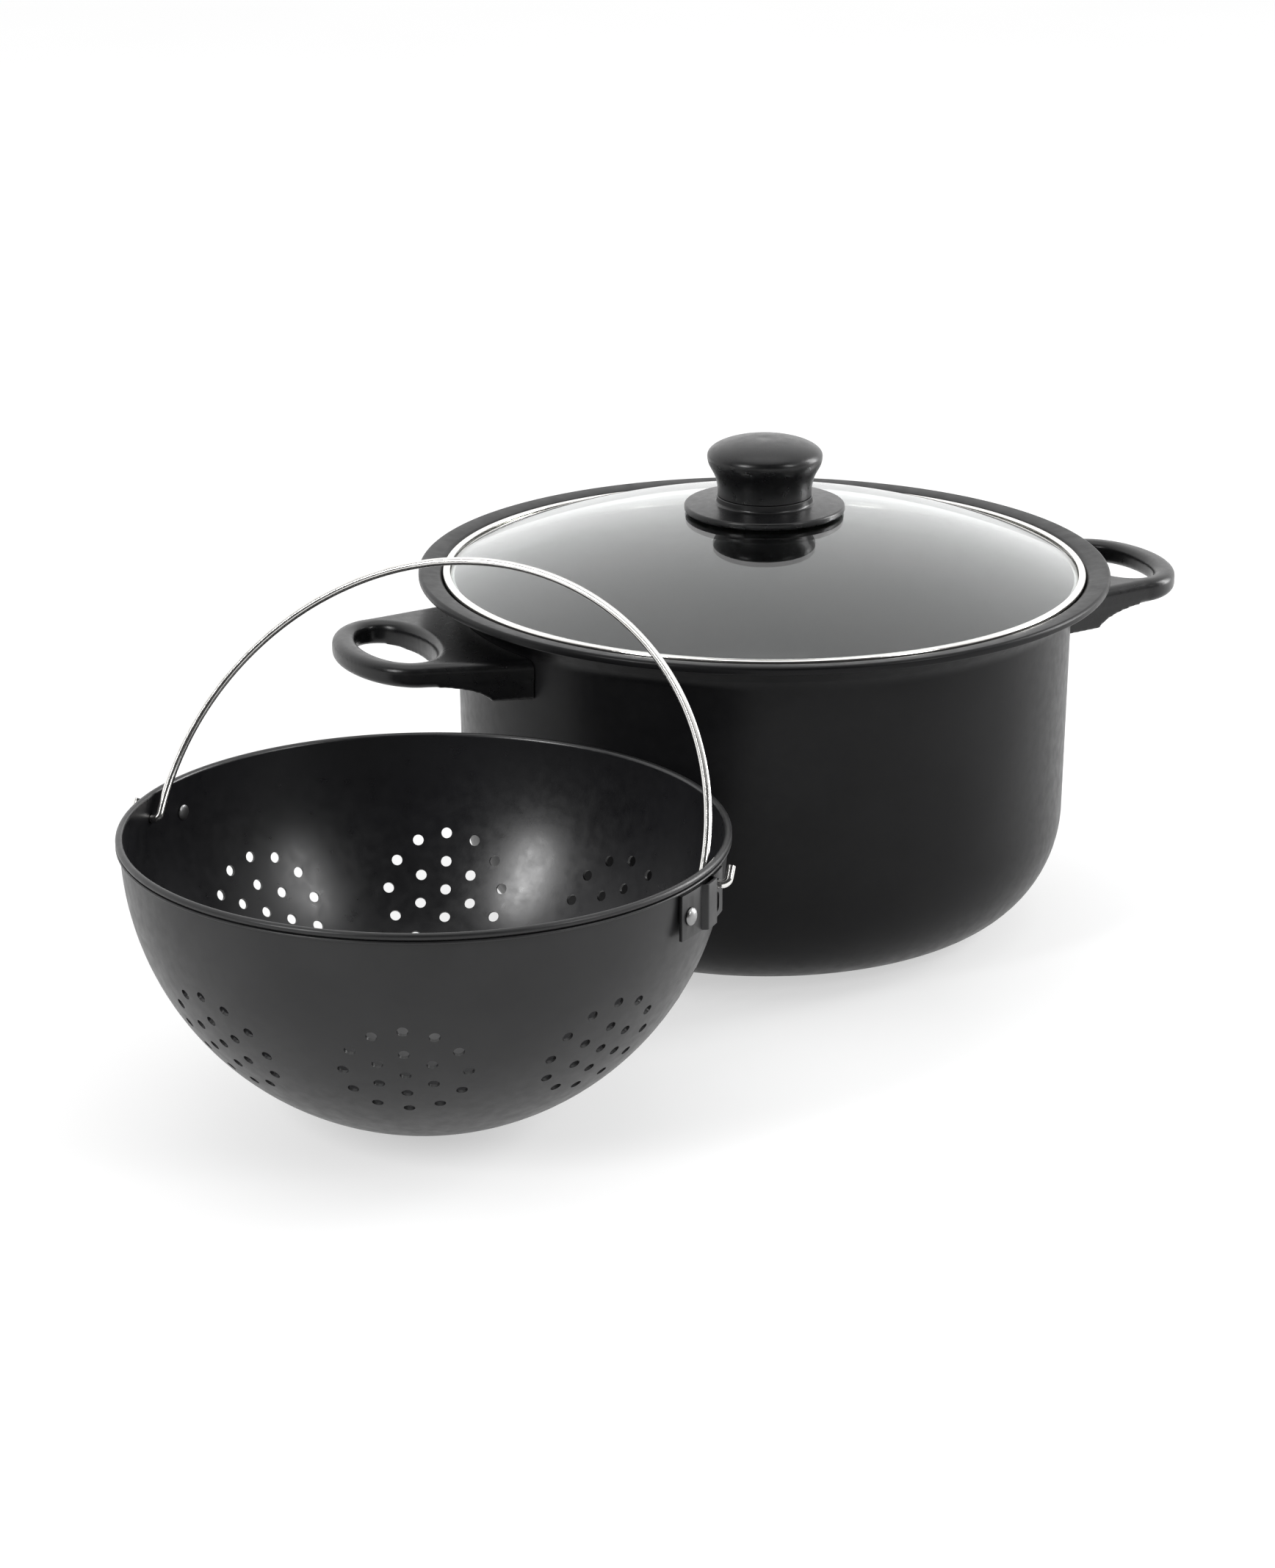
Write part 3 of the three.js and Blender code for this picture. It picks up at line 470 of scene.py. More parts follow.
def make_handle(side, turn):
    handle = handle_block()
    handle.name = side + "_grip_moulding"
    joined = bmesh.new()
    joined.from_mesh(handle.data)
    loop = handle_loop()
    joined.from_mesh(loop)
    bmesh.ops.remove_doubles(joined, verts=joined.verts, dist=WELD)
    joined.to_mesh(handle.data)
    joined.free()
    bpy.data.meshes.remove(loop)
    remesh = handle.modifiers.new("remesh", "REMESH")
    remesh.mode = "VOXEL"
    remesh.voxel_size = HANDLE_VOXEL * MM
    relax = handle.modifiers.new("relax", "SMOOTH")
    relax.factor = HANDLE_RELAXING
    relax.iterations = HANDLE_SMOOTHING
    apply_modifiers(handle)
    cut(handle, tool_bar(WALL_RADIUS + GAP, -CUT_REACH, CUT_REACH, POT_SEGMENTS))
    bore = tool_bar(HANDLE_SCREW_HEAD + GAP, -CUT_REACH, COUNTERBORE_TOP, SMALL_SEGMENTS)
    place(bore, Matrix.Translation((SCREW_AT * MM, 0, 0)))
    cut(handle, bore)
    smooth(handle, HANDLE_SHARP_ANGLE)
    place(handle, Matrix.Rotation(turn, 4, "Z") @ raise_by(HANDLE_TOP))
    return handle


def screw_profile(head, crown, low, seat, shank, top):
    """A screw that points up, with a rounded head under its seat."""
    profile = arc((0, low + crown), (head, crown), -90, 0, steps=10)
    return profile + [(head, seat), (shank, seat), (shank, top), (0, top)]


def at_screw(turn):
    return Matrix.Rotation(turn, 4, "Z") @ Matrix.Translation((SCREW_AT * MM, 0, HANDLE_TOP * MM))


def make_handle_screw(side, turn):
    seat = COUNTERBORE_TOP - HANDLE_WASHER_THICKNESS - 2 * GAP
    low = seat - HANDLE_SCREW_HEAD_HEIGHT
    sizes = (HANDLE_SCREW_HEAD, HANDLE_SCREW_CROWN, low, seat, HANDLE_SCREW_RADIUS, TONGUE_TOP)
    screw = turned(side + "_grip_screw", screw_profile(*sizes), SMALL_SEGMENTS)
    half = HANDLE_SCREW_SLOT / 2
    cut(screw, tool_box((-CUT_REACH, -half, -CUT_REACH), (CUT_REACH, half, low + HANDLE_SCREW_SLOT)))
    smooth(screw)
    place(screw, at_screw(turn))
    return screw


def make_handle_washer(side, turn):
    top = COUNTERBORE_TOP - GAP
    low = top - HANDLE_WASHER_THICKNESS
    hole = HANDLE_SCREW_RADIUS + GAP
    profile = [(hole, low), (HANDLE_SCREW_HEAD, low), (HANDLE_SCREW_HEAD, top), (hole, top)]
    washer = turned(side + "_grip_washer", profile, SMALL_SEGMENTS)
    place(washer, at_screw(turn))
    return washer


# Lid


def make_glass():
    rise = DOME_RISE - GLASS_EDGE_TOP
    sphere = (GLASS_EDGE ** 2 + rise ** 2) / (2 * rise)
    centre = DOME_RISE - sphere

    def dome(radius, start, stop, steps):
        points = []
        for i in range(steps + 1):
            at = start + (stop - start) * i / steps
            points.append((at, centre + math.sqrt(radius ** 2 - at ** 2)))
        return points

    top = dome(sphere, GLASS_HOLE, GLASS_EDGE, steps=40)
    bottom = dome(sphere - GLASS_THICKNESS, GLASS_EDGE - GLASS_BEVEL, GLASS_HOLE, steps=40)
    land = (GLASS_EDGE, GLASS_EDGE_TOP - GLASS_LAND)
    glass = turned("dome_glass", top + [land] + bottom, LID_SEGMENTS)
    place(glass, raise_by(POT_HEIGHT))
    return glass


def make_band():
    wall = LID_RADIUS - BAND_SHEET
    foot = LID_RADIUS - BAND_FOOT_INNER
    turn = LID_RADIUS - BAND_FOOT_OUTER
    lip = LID_RADIUS - BAND_LIP + BAND_LIP_ROUNDING
    profile = [(foot, BAND_BOTTOM), (turn, BAND_BOTTOM)]
    below = (LID_RADIUS, BAND_SHOULDER - BAND_BEAD)
    profile += bezier([(turn, BAND_BOTTOM), below, (LID_RADIUS, BAND_SHOULDER)], steps=6)
    bead_centre = (LID_RADIUS - BAND_BEAD, BAND_TOP - BAND_BEAD)
    profile += arc(bead_centre, (BAND_BEAD, BAND_BEAD), 0, 90, steps=8)
    rounding = (BAND_LIP_ROUNDING, BAND_LIP_ROUNDING)
    profile += arc((lip, BAND_TOP - BAND_LIP_ROUNDING), rounding, 90, 270, steps=6)
    profile += [(wall, BAND_TOP - BAND_BEAD), (wall, BAND_SHOULDER)]
    profile += [(turn - GAP, BAND_BOTTOM + BAND_SHEET), (foot, BAND_BOTTOM + BAND_SHEET)]
    band = turned("steel_band", profile, LID_SEGMENTS)
    place(band, raise_by(POT_HEIGHT))
    return band


# Knob

KNOB_BASE = POT_HEIGHT + DOME_RISE


def make_grip():
    foot = SEAM_HEIGHT + SEAM_GAP
    bore = INSERT_RADIUS + GAP
    profile = [(bore, foot), (NECK_RADIUS - SEAM_EDGE, foot)]
    neck_foot = (NECK_RADIUS, foot + SEAM_EDGE)
    swell = [(NECK_RADIUS, HEAD_UNDER), (HEAD_RADIUS, HEAD_UNDER), (HEAD_RADIUS, HEAD_HEIGHT)]
    profile += bezier([neck_foot] + swell, steps=24)
    crown = arc((0, HEAD_HEIGHT), (HEAD_RADIUS, KNOB_TOP - HEAD_HEIGHT), 0, 90, steps=24)
    for radius, height in crown[1:-1]:
        profile.append((radius, height - DIMPLE_DEPTH * math.exp(-(radius / DIMPLE_RADIUS) ** 2)))
    profile += [(0, KNOB_TOP - DIMPLE_DEPTH), (0, INSERT_TOP + GAP), (bore, INSERT_TOP + GAP)]
    grip = turned("knob_handgrip", profile, KNOB_SEGMENTS)
    place(grip, raise_by(KNOB_BASE))
    return grip


def make_disc():
    recess = GASKET_THICKNESS + 2 * GAP
    hub = GASKET_RADIUS + GAP
    collar = COLLAR_RADIUS + COLLAR_FILLET
    edge = (DISC_EDGE, DISC_EDGE)
    fillet = [(collar, COLLAR_TOP), (COLLAR_RADIUS, COLLAR_TOP), (COLLAR_RADIUS, COLLAR_TOP + COLLAR_FILLET)]
    profile = [(KNOB_BORE, recess), (hub, recess), (hub, DISC_HUB)]
    profile += arc((DISC_RADIUS - DISC_EDGE, DISC_LOW + DISC_EDGE), edge, -90, 0, steps=6)
    profile += arc((DISC_RADIUS - DISC_EDGE, DISC_TOP - DISC_EDGE), edge, 0, 90, steps=6)
    profile += bezier(fillet, steps=6) + [(COLLAR_RADIUS, SEAM_HEIGHT - SEAM_EDGE)]
    profile += [(COLLAR_RADIUS - SEAM_EDGE, SEAM_HEIGHT), (KNOB_BORE, SEAM_HEIGHT)]
    disc = turned("knob_disc", profile, KNOB_SEGMENTS)
    place(disc, raise_by(KNOB_BASE))
    return disc


def make_ring(name, inner, outer, low, high):
    profile = [(inner, low), (outer - RING_EDGE, low), (outer, low + RING_EDGE)]
    profile += [(outer, high - RING_EDGE), (outer - RING_EDGE, high), (inner, high)]
    ring = turned(name, profile, SMALL_SEGMENTS)
    place(ring, raise_by(KNOB_BASE))
    return ring


LOWER_GASKET_TOP = -GLASS_THICKNESS - 2 * GAP
WASHER_TOP = LOWER_GASKET_TOP - GASKET_THICKNESS - GAP
SCREW_SEAT = WASHER_TOP - WASHER_THICKNESS - GAP


def make_knob_screw():
    low = SCREW_SEAT - SCREW_HEAD_HEIGHT
    sizes = (SCREW_HEAD_RADIUS, SCREW_CROWN, low, SCREW_SEAT, SCREW_RADIUS, SCREW_TOP)
    screw = turned("lid_screw", screw_profile(*sizes), SMALL_SEGMENTS)
    for turn in (0, math.pi / 2):
        half, wide = CROSS_LENGTH / 2, CROSS_WIDTH / 2
        slot = tool_box((-half, -wide, -CUT_REACH), (half, wide, low + CROSS_DEPTH))
        place(slot, Matrix.Rotation(turn, 4, "Z"))
        cut(screw, slot)
    smooth(screw)
    place(screw, raise_by(KNOB_BASE))
    return screw


# Strainer


def strainer_place():
    return Matrix.Translation((STRAINER_X, STRAINER_Y, 0)) @ Matrix.Rotation(PIVOT_TURN, 4, "Z")


def bowl_radius(height):
    return math.sqrt(BOWL_RADIUS ** 2 - min(height - BOWL_CENTRE, 0) ** 2)


def bowl_arc(sphere, floor, top):
    low = math.degrees(math.asin((floor - BOWL_CENTRE) / sphere))
    high = math.degrees(math.asin((top - BOWL_CENTRE) / sphere))
    return arc((0, BOWL_CENTRE), (sphere, sphere), low, high, BOWL_RINGS)


def radial_bar(radius, turn, height):
    bar = tool_bar(radius, BOWL_RADIUS - EAR_CUT_REACH, BOWL_RADIUS + EAR_CUT_REACH, SMALL_SEGMENTS)
    place(bar, raise_by(height) @ Matrix.Rotation(turn, 4, "Z") @ Matrix.Rotation(math.pi / 2, 4, "Y"))
    return bar


def hole_directions():
    """Directions from the bowl's centre to every drain hole."""
    clusters = [(0, math.pi / 2)]
    for i in range(CLUSTER_COUNT):
        clusters.append((CLUSTER_TURN + 2 * math.pi * i / CLUSTER_COUNT, CLUSTER_DIP))
    for azimuth, dip in clusters:
        aim = Matrix.Rotation(azimuth, 3, "Z") @ Matrix.Rotation(dip, 3, "Y")
        for radius, count in CLUSTER_RINGS:
            bearing = radius / BOWL_RADIUS
            for i in range(count):
                turn = 2 * math.pi * i / count
                across = math.sin(bearing)
                point = Vector((math.cos(bearing), across * math.sin(turn), across * math.cos(turn)))
                yield aim @ point


def drain_tools():
    """All hole cutters as one mesh."""
    verts, faces = [], []
    for direction in hole_directions():
        side = direction.orthogonal().normalized()
        other = direction.cross(side)
        first = len(verts)
        for reach in (BOWL_RADIUS - HOLE_CUT_REACH, BOWL_RADIUS + HOLE_CUT_REACH):
            middle = direction * reach + UP * BOWL_CENTRE
            for i in range(HOLE_SIDES):
                angle = 2 * math.pi * i / HOLE_SIDES
                verts.append(middle + (side * math.cos(angle) + other * math.sin(angle)) * HOLE_RADIUS)
        for i in range(HOLE_SIDES):
            j = (i + 1) % HOLE_SIDES
            faces.append((first + i, first + j, first + HOLE_SIDES + j, first + HOLE_SIDES + i))
        faces.append(list(range(first, first + HOLE_SIDES)))
        faces.append(list(range(first + HOLE_SIDES, first + 2 * HOLE_SIDES)))
    return mesh_object("tool", verts, faces)


def sphere_normals(piece):
    """Gives the cut bowl the clean normals of its two spheres, so that the holes don't dent its shine."""
    mesh = piece.data
    centre = Vector((0, 0, BOWL_CENTRE * MM))
    shells = ((BOWL_RADIUS * MM, 1), ((BOWL_RADIUS - BOWL_SHEET) * MM, -1))
    normals = [Vector(corner.vector) for corner in mesh.corner_normals]
    for face in mesh.polygons:
        away = (face.center - centre).normalized()
        for radius, sign in shells:
            if face.normal.dot(away) * sign < ALONG_SHELL:
                continue
            for loop in face.loop_indices:
                out = mesh.vertices[mesh.loops[loop].vertex_index].co - centre
                if abs(out.length - radius) < OFF_SHELL * MM:
                    normals[loop] = out.normalized() * sign
    mesh.normals_split_custom_set(normals)


def make_bowl():
    inner = BOWL_RADIUS - BOWL_SHEET
    rim_foot = STRAINER_HEIGHT - RIM_DEPTH
    bead = (STRAINER_RIM - inner) / 2
    outside = [(0, 0)] + bowl_arc(BOWL_RADIUS, 0, rim_foot - RIM_CURL)
    curl_centre = (STRAINER_RIM - RIM_CURL, rim_foot + RIM_CURL)
    outside += arc(curl_centre, (RIM_CURL, RIM_CURL), 200, 450, steps=12)
    outside += [(RIM_GROOVE, STRAINER_HEIGHT - 2 * bead)]
    rim = arc((inner + bead, STRAINER_HEIGHT - bead), (bead, bead), -80, 180, steps=24)
    inside = list(reversed(bowl_arc(inner, BOWL_SHEET, BOWL_CENTRE)))
    bowl = turned("strainer_shell", outside + rim + inside + [(0, BOWL_SHEET)], BOWL_SEGMENTS)
    cut(bowl, drain_tools())
    for turn in (0, math.pi):
        cut(bowl, radial_bar(PIVOT_HOLE, turn, PIVOT_HEIGHT))
        cut(bowl, radial_bar(RIVET_RADIUS + GAP, turn + RIVET_AZIMUTH, STRAINER_HEIGHT - RIVET_DROP))
    smooth(bowl)
    sphere_normals(bowl)
    # Faces towards the inside take the near-black lining; the rest take the outer coat, whose lighter grey
    # is painted light
    for face in bowl.data.polygons:
        away = face.center - Vector((0, 0, BOWL_CENTRE * MM))
        inward = face.normal.dot(away.normalized()) < FACING_IN
        face.material_index = 1 if inward else 0
    place(bowl, strainer_place())
    return bowl


def ear_rise(azimuth):
    away = (abs(azimuth - EAR_CHANNEL_AT) - EAR_CHANNEL_HALF) / EAR_CHANNEL_RAMP
    ease = min(max(1 - away, 0), 1)
    return EAR_CHANNEL_RISE * ease * ease * (3 - 2 * ease)


def make_ear(side, turn):
    """A strap that follows the bowl, with a raised channel, a rivet hole, a wire hole and a slot."""
    verts, faces = [], []
    low, high = STRAINER_HEIGHT - EAR_BOTTOM_DROP, STRAINER_HEIGHT - EAR_TOP_DROP
    for i in range(EAR_STEPS + 1):
        azimuth = EAR_START + (EAR_STOP - EAR_START) * i / EAR_STEPS
        inner = BOWL_RADIUS + GAP + ear_rise(azimuth)
        outer = inner + EAR_SHEET
        for radius, height in ((inner, low), (outer, low), (outer, high), (inner, high)):
            verts.append((radius * math.cos(azimuth), radius * math.sin(azimuth), height))
    for i in range(EAR_STEPS):
        for j in range(4):
            a, b = i * 4 + j, i * 4 + (j + 1) % 4
            faces.append((a, b, b + 4, a + 4))
    faces += [(0, 1, 2, 3), tuple(range(EAR_STEPS * 4, EAR_STEPS * 4 + 4))]
    ear = mesh_object(side + "_strap", verts, faces)
    cut(ear, radial_bar(RIVET_RADIUS + GAP, RIVET_AZIMUTH, STRAINER_HEIGHT - RIVET_DROP))
    cut(ear, radial_bar(PIVOT_HOLE, 0, PIVOT_HEIGHT))
    slot_top = STRAINER_HEIGHT - SLOT_TOP_DROP - SLOT_HALF_WIDTH
    slot_low = STRAINER_HEIGHT - SLOT_BOTTOM_DROP + SLOT_HALF_WIDTH
    slot_near = (BOWL_RADIUS - EAR_CUT_REACH, -SLOT_HALF_WIDTH, slot_low)
    slot_far = (BOWL_RADIUS + EAR_CUT_REACH, SLOT_HALF_WIDTH, slot_top)
    cut(ear, tool_box(slot_near, slot_far))
    for height in (slot_top, slot_low):
        cut(ear, radial_bar(SLOT_HALF_WIDTH, 0, height))
    bevel = ear.modifiers.new("edges", "BEVEL")
    bevel.width = EAR_EDGE * MM
    bevel.segments = EAR_EDGE_STEPS
    bevel.limit_method = "ANGLE"
    bevel.angle_limit = EAR_EDGE_ANGLE
    apply_modifiers(ear)
    smooth(ear, EAR_SHARP_ANGLE)
    place(ear, strainer_place() @ Matrix.Rotation(turn, 4, "Z"))
    return ear


def make_rivet(side, turn):
    height = STRAINER_HEIGHT - RIVET_DROP
    inner = bowl_radius(height) - BOWL_SHEET - GAP
    outer = BOWL_RADIUS + EAR_SHEET + 2 * GAP
    profile = arc((0, inner), (RIVET_TAIL, RIVET_TAIL_HEIGHT), -90, 0, steps=10)
    profile += [(RIVET_RADIUS, inner), (RIVET_RADIUS, outer)]
    profile += arc((0, outer), (RIVET_HEAD, RIVET_HEAD_HEIGHT), 0, 90, steps=12)
    rivet = turned(side + "_strap_rivet", profile, SMALL_SEGMENTS)
    aim = Matrix.Rotation(turn + RIVET_AZIMUTH, 4, "Z") @ Matrix.Rotation(math.pi / 2, 4, "Y")
    place(rivet, strainer_place() @ raise_by(height) @ aim)
    return rivet


def bail_route():
    """The wire's centre line in its own plane, from one hook over the arch to the other."""
    hook_at = BAIL_END - WIRE_RADIUS
    bend = (BAIL_BEND, BAIL_BEND)
    half = [(hook_at, BAIL_HOOK), (hook_at, BAIL_HOOK / 2)]
    half += arc((hook_at - BAIL_BEND, BAIL_BEND), bend, 0, -90, steps=8)
    half += arc((BAIL_HALF_SPAN + BAIL_BEND, BAIL_BEND), bend, -90, -180, steps=8)
    half += arc((0, BAIL_BEND), (BAIL_HALF_SPAN, BAIL_RISE - BAIL_BEND), 0, 90, steps=60)[1:]
    return half + [(-x, y) for x, y in reversed(half[:-1])]


def make_bail():
    route = bail_route()
    verts, faces = [], []
    count = len(route)
    for i, (x, y) in enumerate(route):
        before, after = route[max(i - 1, 0)], route[min(i + 1, count - 1)]
        along = Vector((after[0] - before[0], 0, after[1] - before[1])).normalized()
        across = Vector((0, 1, 0)).cross(along)
        for j in range(WIRE_SIDES):
            angle = 2 * math.pi * j / WIRE_SIDES
            side = across * math.cos(angle) + Vector((0, 1, 0)) * math.sin(angle)
            verts.append(Vector((x, 0, y)) + side * WIRE_RADIUS)
    for i in range(count - 1):
        for j in range(WIRE_SIDES):
            a, b = i * WIRE_SIDES + j, i * WIRE_SIDES + (j + 1) % WIRE_SIDES
            faces.append((a, b, b + WIRE_SIDES, a + WIRE_SIDES))
    faces += [list(range(WIRE_SIDES)), list(range((count - 1) * WIRE_SIDES, count * WIRE_SIDES))]
    bail = mesh_object("bail", verts, faces)
    smooth(bail, WIRE_SHARP_ANGLE)
    place(bail, strainer_place() @ raise_by(PIVOT_HEIGHT) @ Matrix.Rotation(-BAIL_LEAN, 4, "X"))
    return bail


# Materials: the stretch of a noise's values over which colour and roughness change

COLOUR_SPREAD = (0.35, 0.65)
ROUGHNESS_SPREAD = (0.3, 0.7)


class Surface:
    """A principled material whose colour, roughness and relief vary by noise in the piece's own space."""

    def __init__(self, name):
        self.material = bpy.data.materials.new(name)
        self.material.use_nodes = True
        self.tree = self.material.node_tree
        self.shader = self.tree.nodes["Principled BSDF"]
        self.where = self.tree.nodes.new("ShaderNodeTexCoord").outputs["Object"]

    def set(self, **values):
        for name, value in values.items():
            self.shader.inputs[name.replace("_", " ")].default_value = value

    def noise(self, scale, detail=2.0, stretch=(1, 1, 1)):
        mapping = self.tree.nodes.new("ShaderNodeMapping")
        mapping.inputs["Scale"].default_value = stretch
        texture = self.tree.nodes.new("ShaderNodeTexNoise")
        texture.inputs["Scale"].default_value = scale
        texture.inputs["Detail"].default_value = detail
        self.tree.links.new(self.where, mapping.inputs["Vector"])
        self.tree.links.new(mapping.outputs["Vector"], texture.inputs["Vector"])
        return texture.outputs["Fac"]

    def colour(self, factor, dark, light):
        ramp = self.tree.nodes.new("ShaderNodeValToRGB")
        ramp.color_ramp.elements[0].position = COLOUR_SPREAD[0]
        ramp.color_ramp.elements[0].color = (*dark, 1)
        ramp.color_ramp.elements[1].position = COLOUR_SPREAD[1]
        ramp.color_ramp.elements[1].color = (*light, 1)
        self.tree.links.new(factor, ramp.inputs["Fac"])
        self.tree.links.new(ramp.outputs["Color"], self.shader.inputs["Base Color"])

    def roughness(self, factor, low, high):
        spread = self.tree.nodes.new("ShaderNodeMapRange")
        spread.inputs["From Min"].default_value = ROUGHNESS_SPREAD[0]
        spread.inputs["From Max"].default_value = ROUGHNESS_SPREAD[1]
        spread.inputs["To Min"].default_value = low
        spread.inputs["To Max"].default_value = high
        self.tree.links.new(factor, spread.inputs["Value"])
        self.tree.links.new(spread.outputs["Result"], self.shader.inputs["Roughness"])

    def relief(self, factor, depth):
        bump = self.tree.nodes.new("ShaderNodeBump")
        bump.inputs["Strength"].default_value = 1
        bump.inputs["Distance"].default_value = depth * MM
        self.tree.links.new(factor, bump.inputs["Height"])
        self.tree.links.new(bump.outputs["Normal"], self.shader.inputs["Normal"])


def coated_steel(name, dark, light, rough, specular):
    """A baked-on coating with a faint orange-peel surface."""
    surface = Surface(name)
    surface.colour(surface.noise(scale=30, detail=3), dark, light)
    surface.roughness(surface.noise(scale=220, detail=4), low=rough - 0.04, high=rough + 0.05)
    surface.relief(surface.noise(scale=900), depth=0.008)
    surface.set(Specular_IOR_Level=specular)
    return surface.material


def bakelite(name):
    """Moulded phenolic with a fine satin grain."""
    surface = Surface(name)
    dark, light = (0.004, 0.004, 0.0045), (0.007, 0.007, 0.0075)
    surface.colour(surface.noise(scale=60, detail=4), dark, light)
    surface.roughness(surface.noise(scale=300, detail=3), low=0.26, high=0.34)
    surface.relief(surface.noise(scale=1600), depth=0.004)
    surface.set(Specular_IOR_Level=0.35)
    return surface.material


def metal(name, dark, light, rough, stretch):
    """Steel or brass with drawn or polishing lines."""
    surface = Surface(name)
    surface.colour(surface.noise(scale=120, detail=3, stretch=stretch), dark, light)
    surface.roughness(surface.noise(scale=500, detail=3, stretch=stretch), low=rough, high=rough + 0.08)
    surface.relief(surface.noise(scale=900, stretch=stretch), depth=0.004)
    surface.set(Metallic=1.0)
    return surface.material


def clear_glass(name):
    """Tempered glass, clear and slightly smudged."""
    surface = Surface(name)
    dark, light = (0.84, 0.875, 0.87), (0.88, 0.905, 0.90)
    surface.colour(surface.noise(scale=20), dark, light)
    surface.roughness(surface.noise(scale=40, detail=5), low=0.0, high=0.03)
    surface.set(Transmission_Weight=1.0, IOR=1.5)
    return surface.material


def silicone(name):
    """Translucent white silicone."""
    surface = Surface(name)
    dark, light = (0.66, 0.66, 0.64), (0.74, 0.74, 0.72)
    surface.colour(surface.noise(scale=200, detail=3), dark, light)
    surface.roughness(surface.noise(scale=400), low=0.5, high=0.65)
    surface.relief(surface.noise(scale=1200), depth=0.01)
    return surface.material


# Stage: floor, lights and camera

TO_BACK = Vector((math.sin(HANDLE_TURN), math.cos(HANDLE_TURN), 0))
TO_RIGHT = Vector((math.cos(HANDLE_TURN), -math.sin(HANDLE_TURN), 0))
SUBJECT = Vector((-80, -60, 90)) * MM
FLOOR_REACH = 30000
FLOOR_LEVEL = -0.05
FLOOR_GLOW = 0.55


def studio(right, back, height):
    """A place in metres, counted from the pot as the photograph sees it."""
    return TO_RIGHT * right + TO_BACK * back + UP * height


def brighter(tree, one, other):
    """The larger of two strengths."""
    choice = tree.nodes.new("ShaderNodeMath")
    choice.operation = "MAXIMUM"
    tree.links.new(one, choice.inputs[0])
    tree.links.new(other, choice.inputs[1])
    return choice.outputs["Value"]


def make_floor():
    """White paper that keeps the object's shadow, brightened where it is seen, mirrored or seen through."""
    corners = [(-1, -1), (1, -1), (1, 1), (-1, 1)]
    verts = [(x * FLOOR_REACH, y * FLOOR_REACH, FLOOR_LEVEL) for x, y in corners]
    floor = mesh_object("floor", verts, [(0, 1, 2, 3)])
    surface = Surface("floor_paper")
    surface.colour(surface.noise(scale=3), dark=(0.93, 0.93, 0.93), light=(0.95, 0.95, 0.95))
    surface.set(Roughness=0.9, Specular_IOR_Level=0.0)
    nodes, links = surface.tree.nodes, surface.tree.links
    path = nodes.new("ShaderNodeLightPath")
    seen = brighter(surface.tree, path.outputs["Is Camera Ray"], path.outputs["Is Glossy Ray"])
    seen = brighter(surface.tree, seen, path.outputs["Is Transmission Ray"])
    share = nodes.new("ShaderNodeMapRange")
    share.inputs["To Max"].default_value = FLOOR_GLOW
    glow = nodes.new("ShaderNodeEmission")
    mix = nodes.new("ShaderNodeMixShader")
    links.new(seen, share.inputs["Value"])
    links.new(share.outputs["Result"], mix.inputs["Fac"])
    links.new(surface.shader.outputs["BSDF"], mix.inputs[1])
    links.new(glow.outputs["Emission"], mix.inputs[2])
    links.new(mix.outputs["Shader"], nodes["Material Output"].inputs["Surface"])
    floor.data.materials.append(surface.material)


def softbox(name, where, width, height, watts):
    light = bpy.data.lights.new(name, "AREA")
    light.shape = "RECTANGLE"
    light.size = width
    light.size_y = height
    light.energy = watts
    lamp = bpy.data.objects.new(name, light)
    lamp.location = where
    lamp.rotation_euler = (SUBJECT - where).to_track_quat("-Z", "Y").to_euler()
    bpy.context.scene.collection.objects.link(lamp)


def sky_part(tree, towards, start, full, low, high):
    """Light that grows from low to high as a direction turns to face a part of the studio."""
    direction = tree.nodes.new("ShaderNodeTexCoord").outputs["Generated"]
    facing = tree.nodes.new("ShaderNodeVectorMath")
    facing.operation = "DOT_PRODUCT"
    facing.inputs[1].default_value = towards
    ramp = tree.nodes.new("ShaderNodeMapRange")
    ramp.interpolation_type = "SMOOTHSTEP"
    ramp.inputs["From Min"].default_value = start
    ramp.inputs["From Max"].default_value = full
    ramp.inputs["To Min"].default_value = low
    ramp.inputs["To Max"].default_value = high
    tree.links.new(direction, facing.inputs[0])
    tree.links.new(facing.outputs["Value"], ramp.inputs["Value"])
    return ramp.outputs["Result"]


def make_world():
    """A studio that is white behind the object and overhead, dims towards the front, and looks white."""
    world = bpy.data.worlds.new("studio")
    bpy.context.scene.world = world
    world.use_nodes = True
    tree = world.node_tree
    behind = sky_part(tree, TO_BACK, start=-0.5, full=0.3, low=0.05, high=1.35)
    overhead = sky_part(tree, UP, start=0.85, full=0.97, low=0, high=1)
    total = tree.nodes.new("ShaderNodeMath")
    tree.links.new(behind, total.inputs[0])
    tree.links.new(overhead, total.inputs[1])
    path = tree.nodes.new("ShaderNodeLightPath")
    seen = brighter(tree, path.outputs["Is Camera Ray"], path.outputs["Is Transmission Ray"])
    background = tree.nodes["Background"]
    background.inputs["Color"].default_value = (1, 1, 1, 1)
    tree.links.new(brighter(tree, total.outputs["Value"], seen), background.inputs["Strength"])


def make_lights():
    """Two boxes in front that show in the strainer, and one behind that edges the pot."""
    left = studio(right=-1.3, back=-1.3, height=1.08)
    right = studio(right=1.32, back=-0.99, height=1.05)
    edge = studio(right=1.6, back=0.6, height=0.6)
    softbox("left_box", left, width=0.35, height=0.9, watts=22)
    softbox("right_box", right, width=0.35, height=0.9, watts=10)
    softbox("right_rim", edge, width=0.5, height=1.2, watts=26)


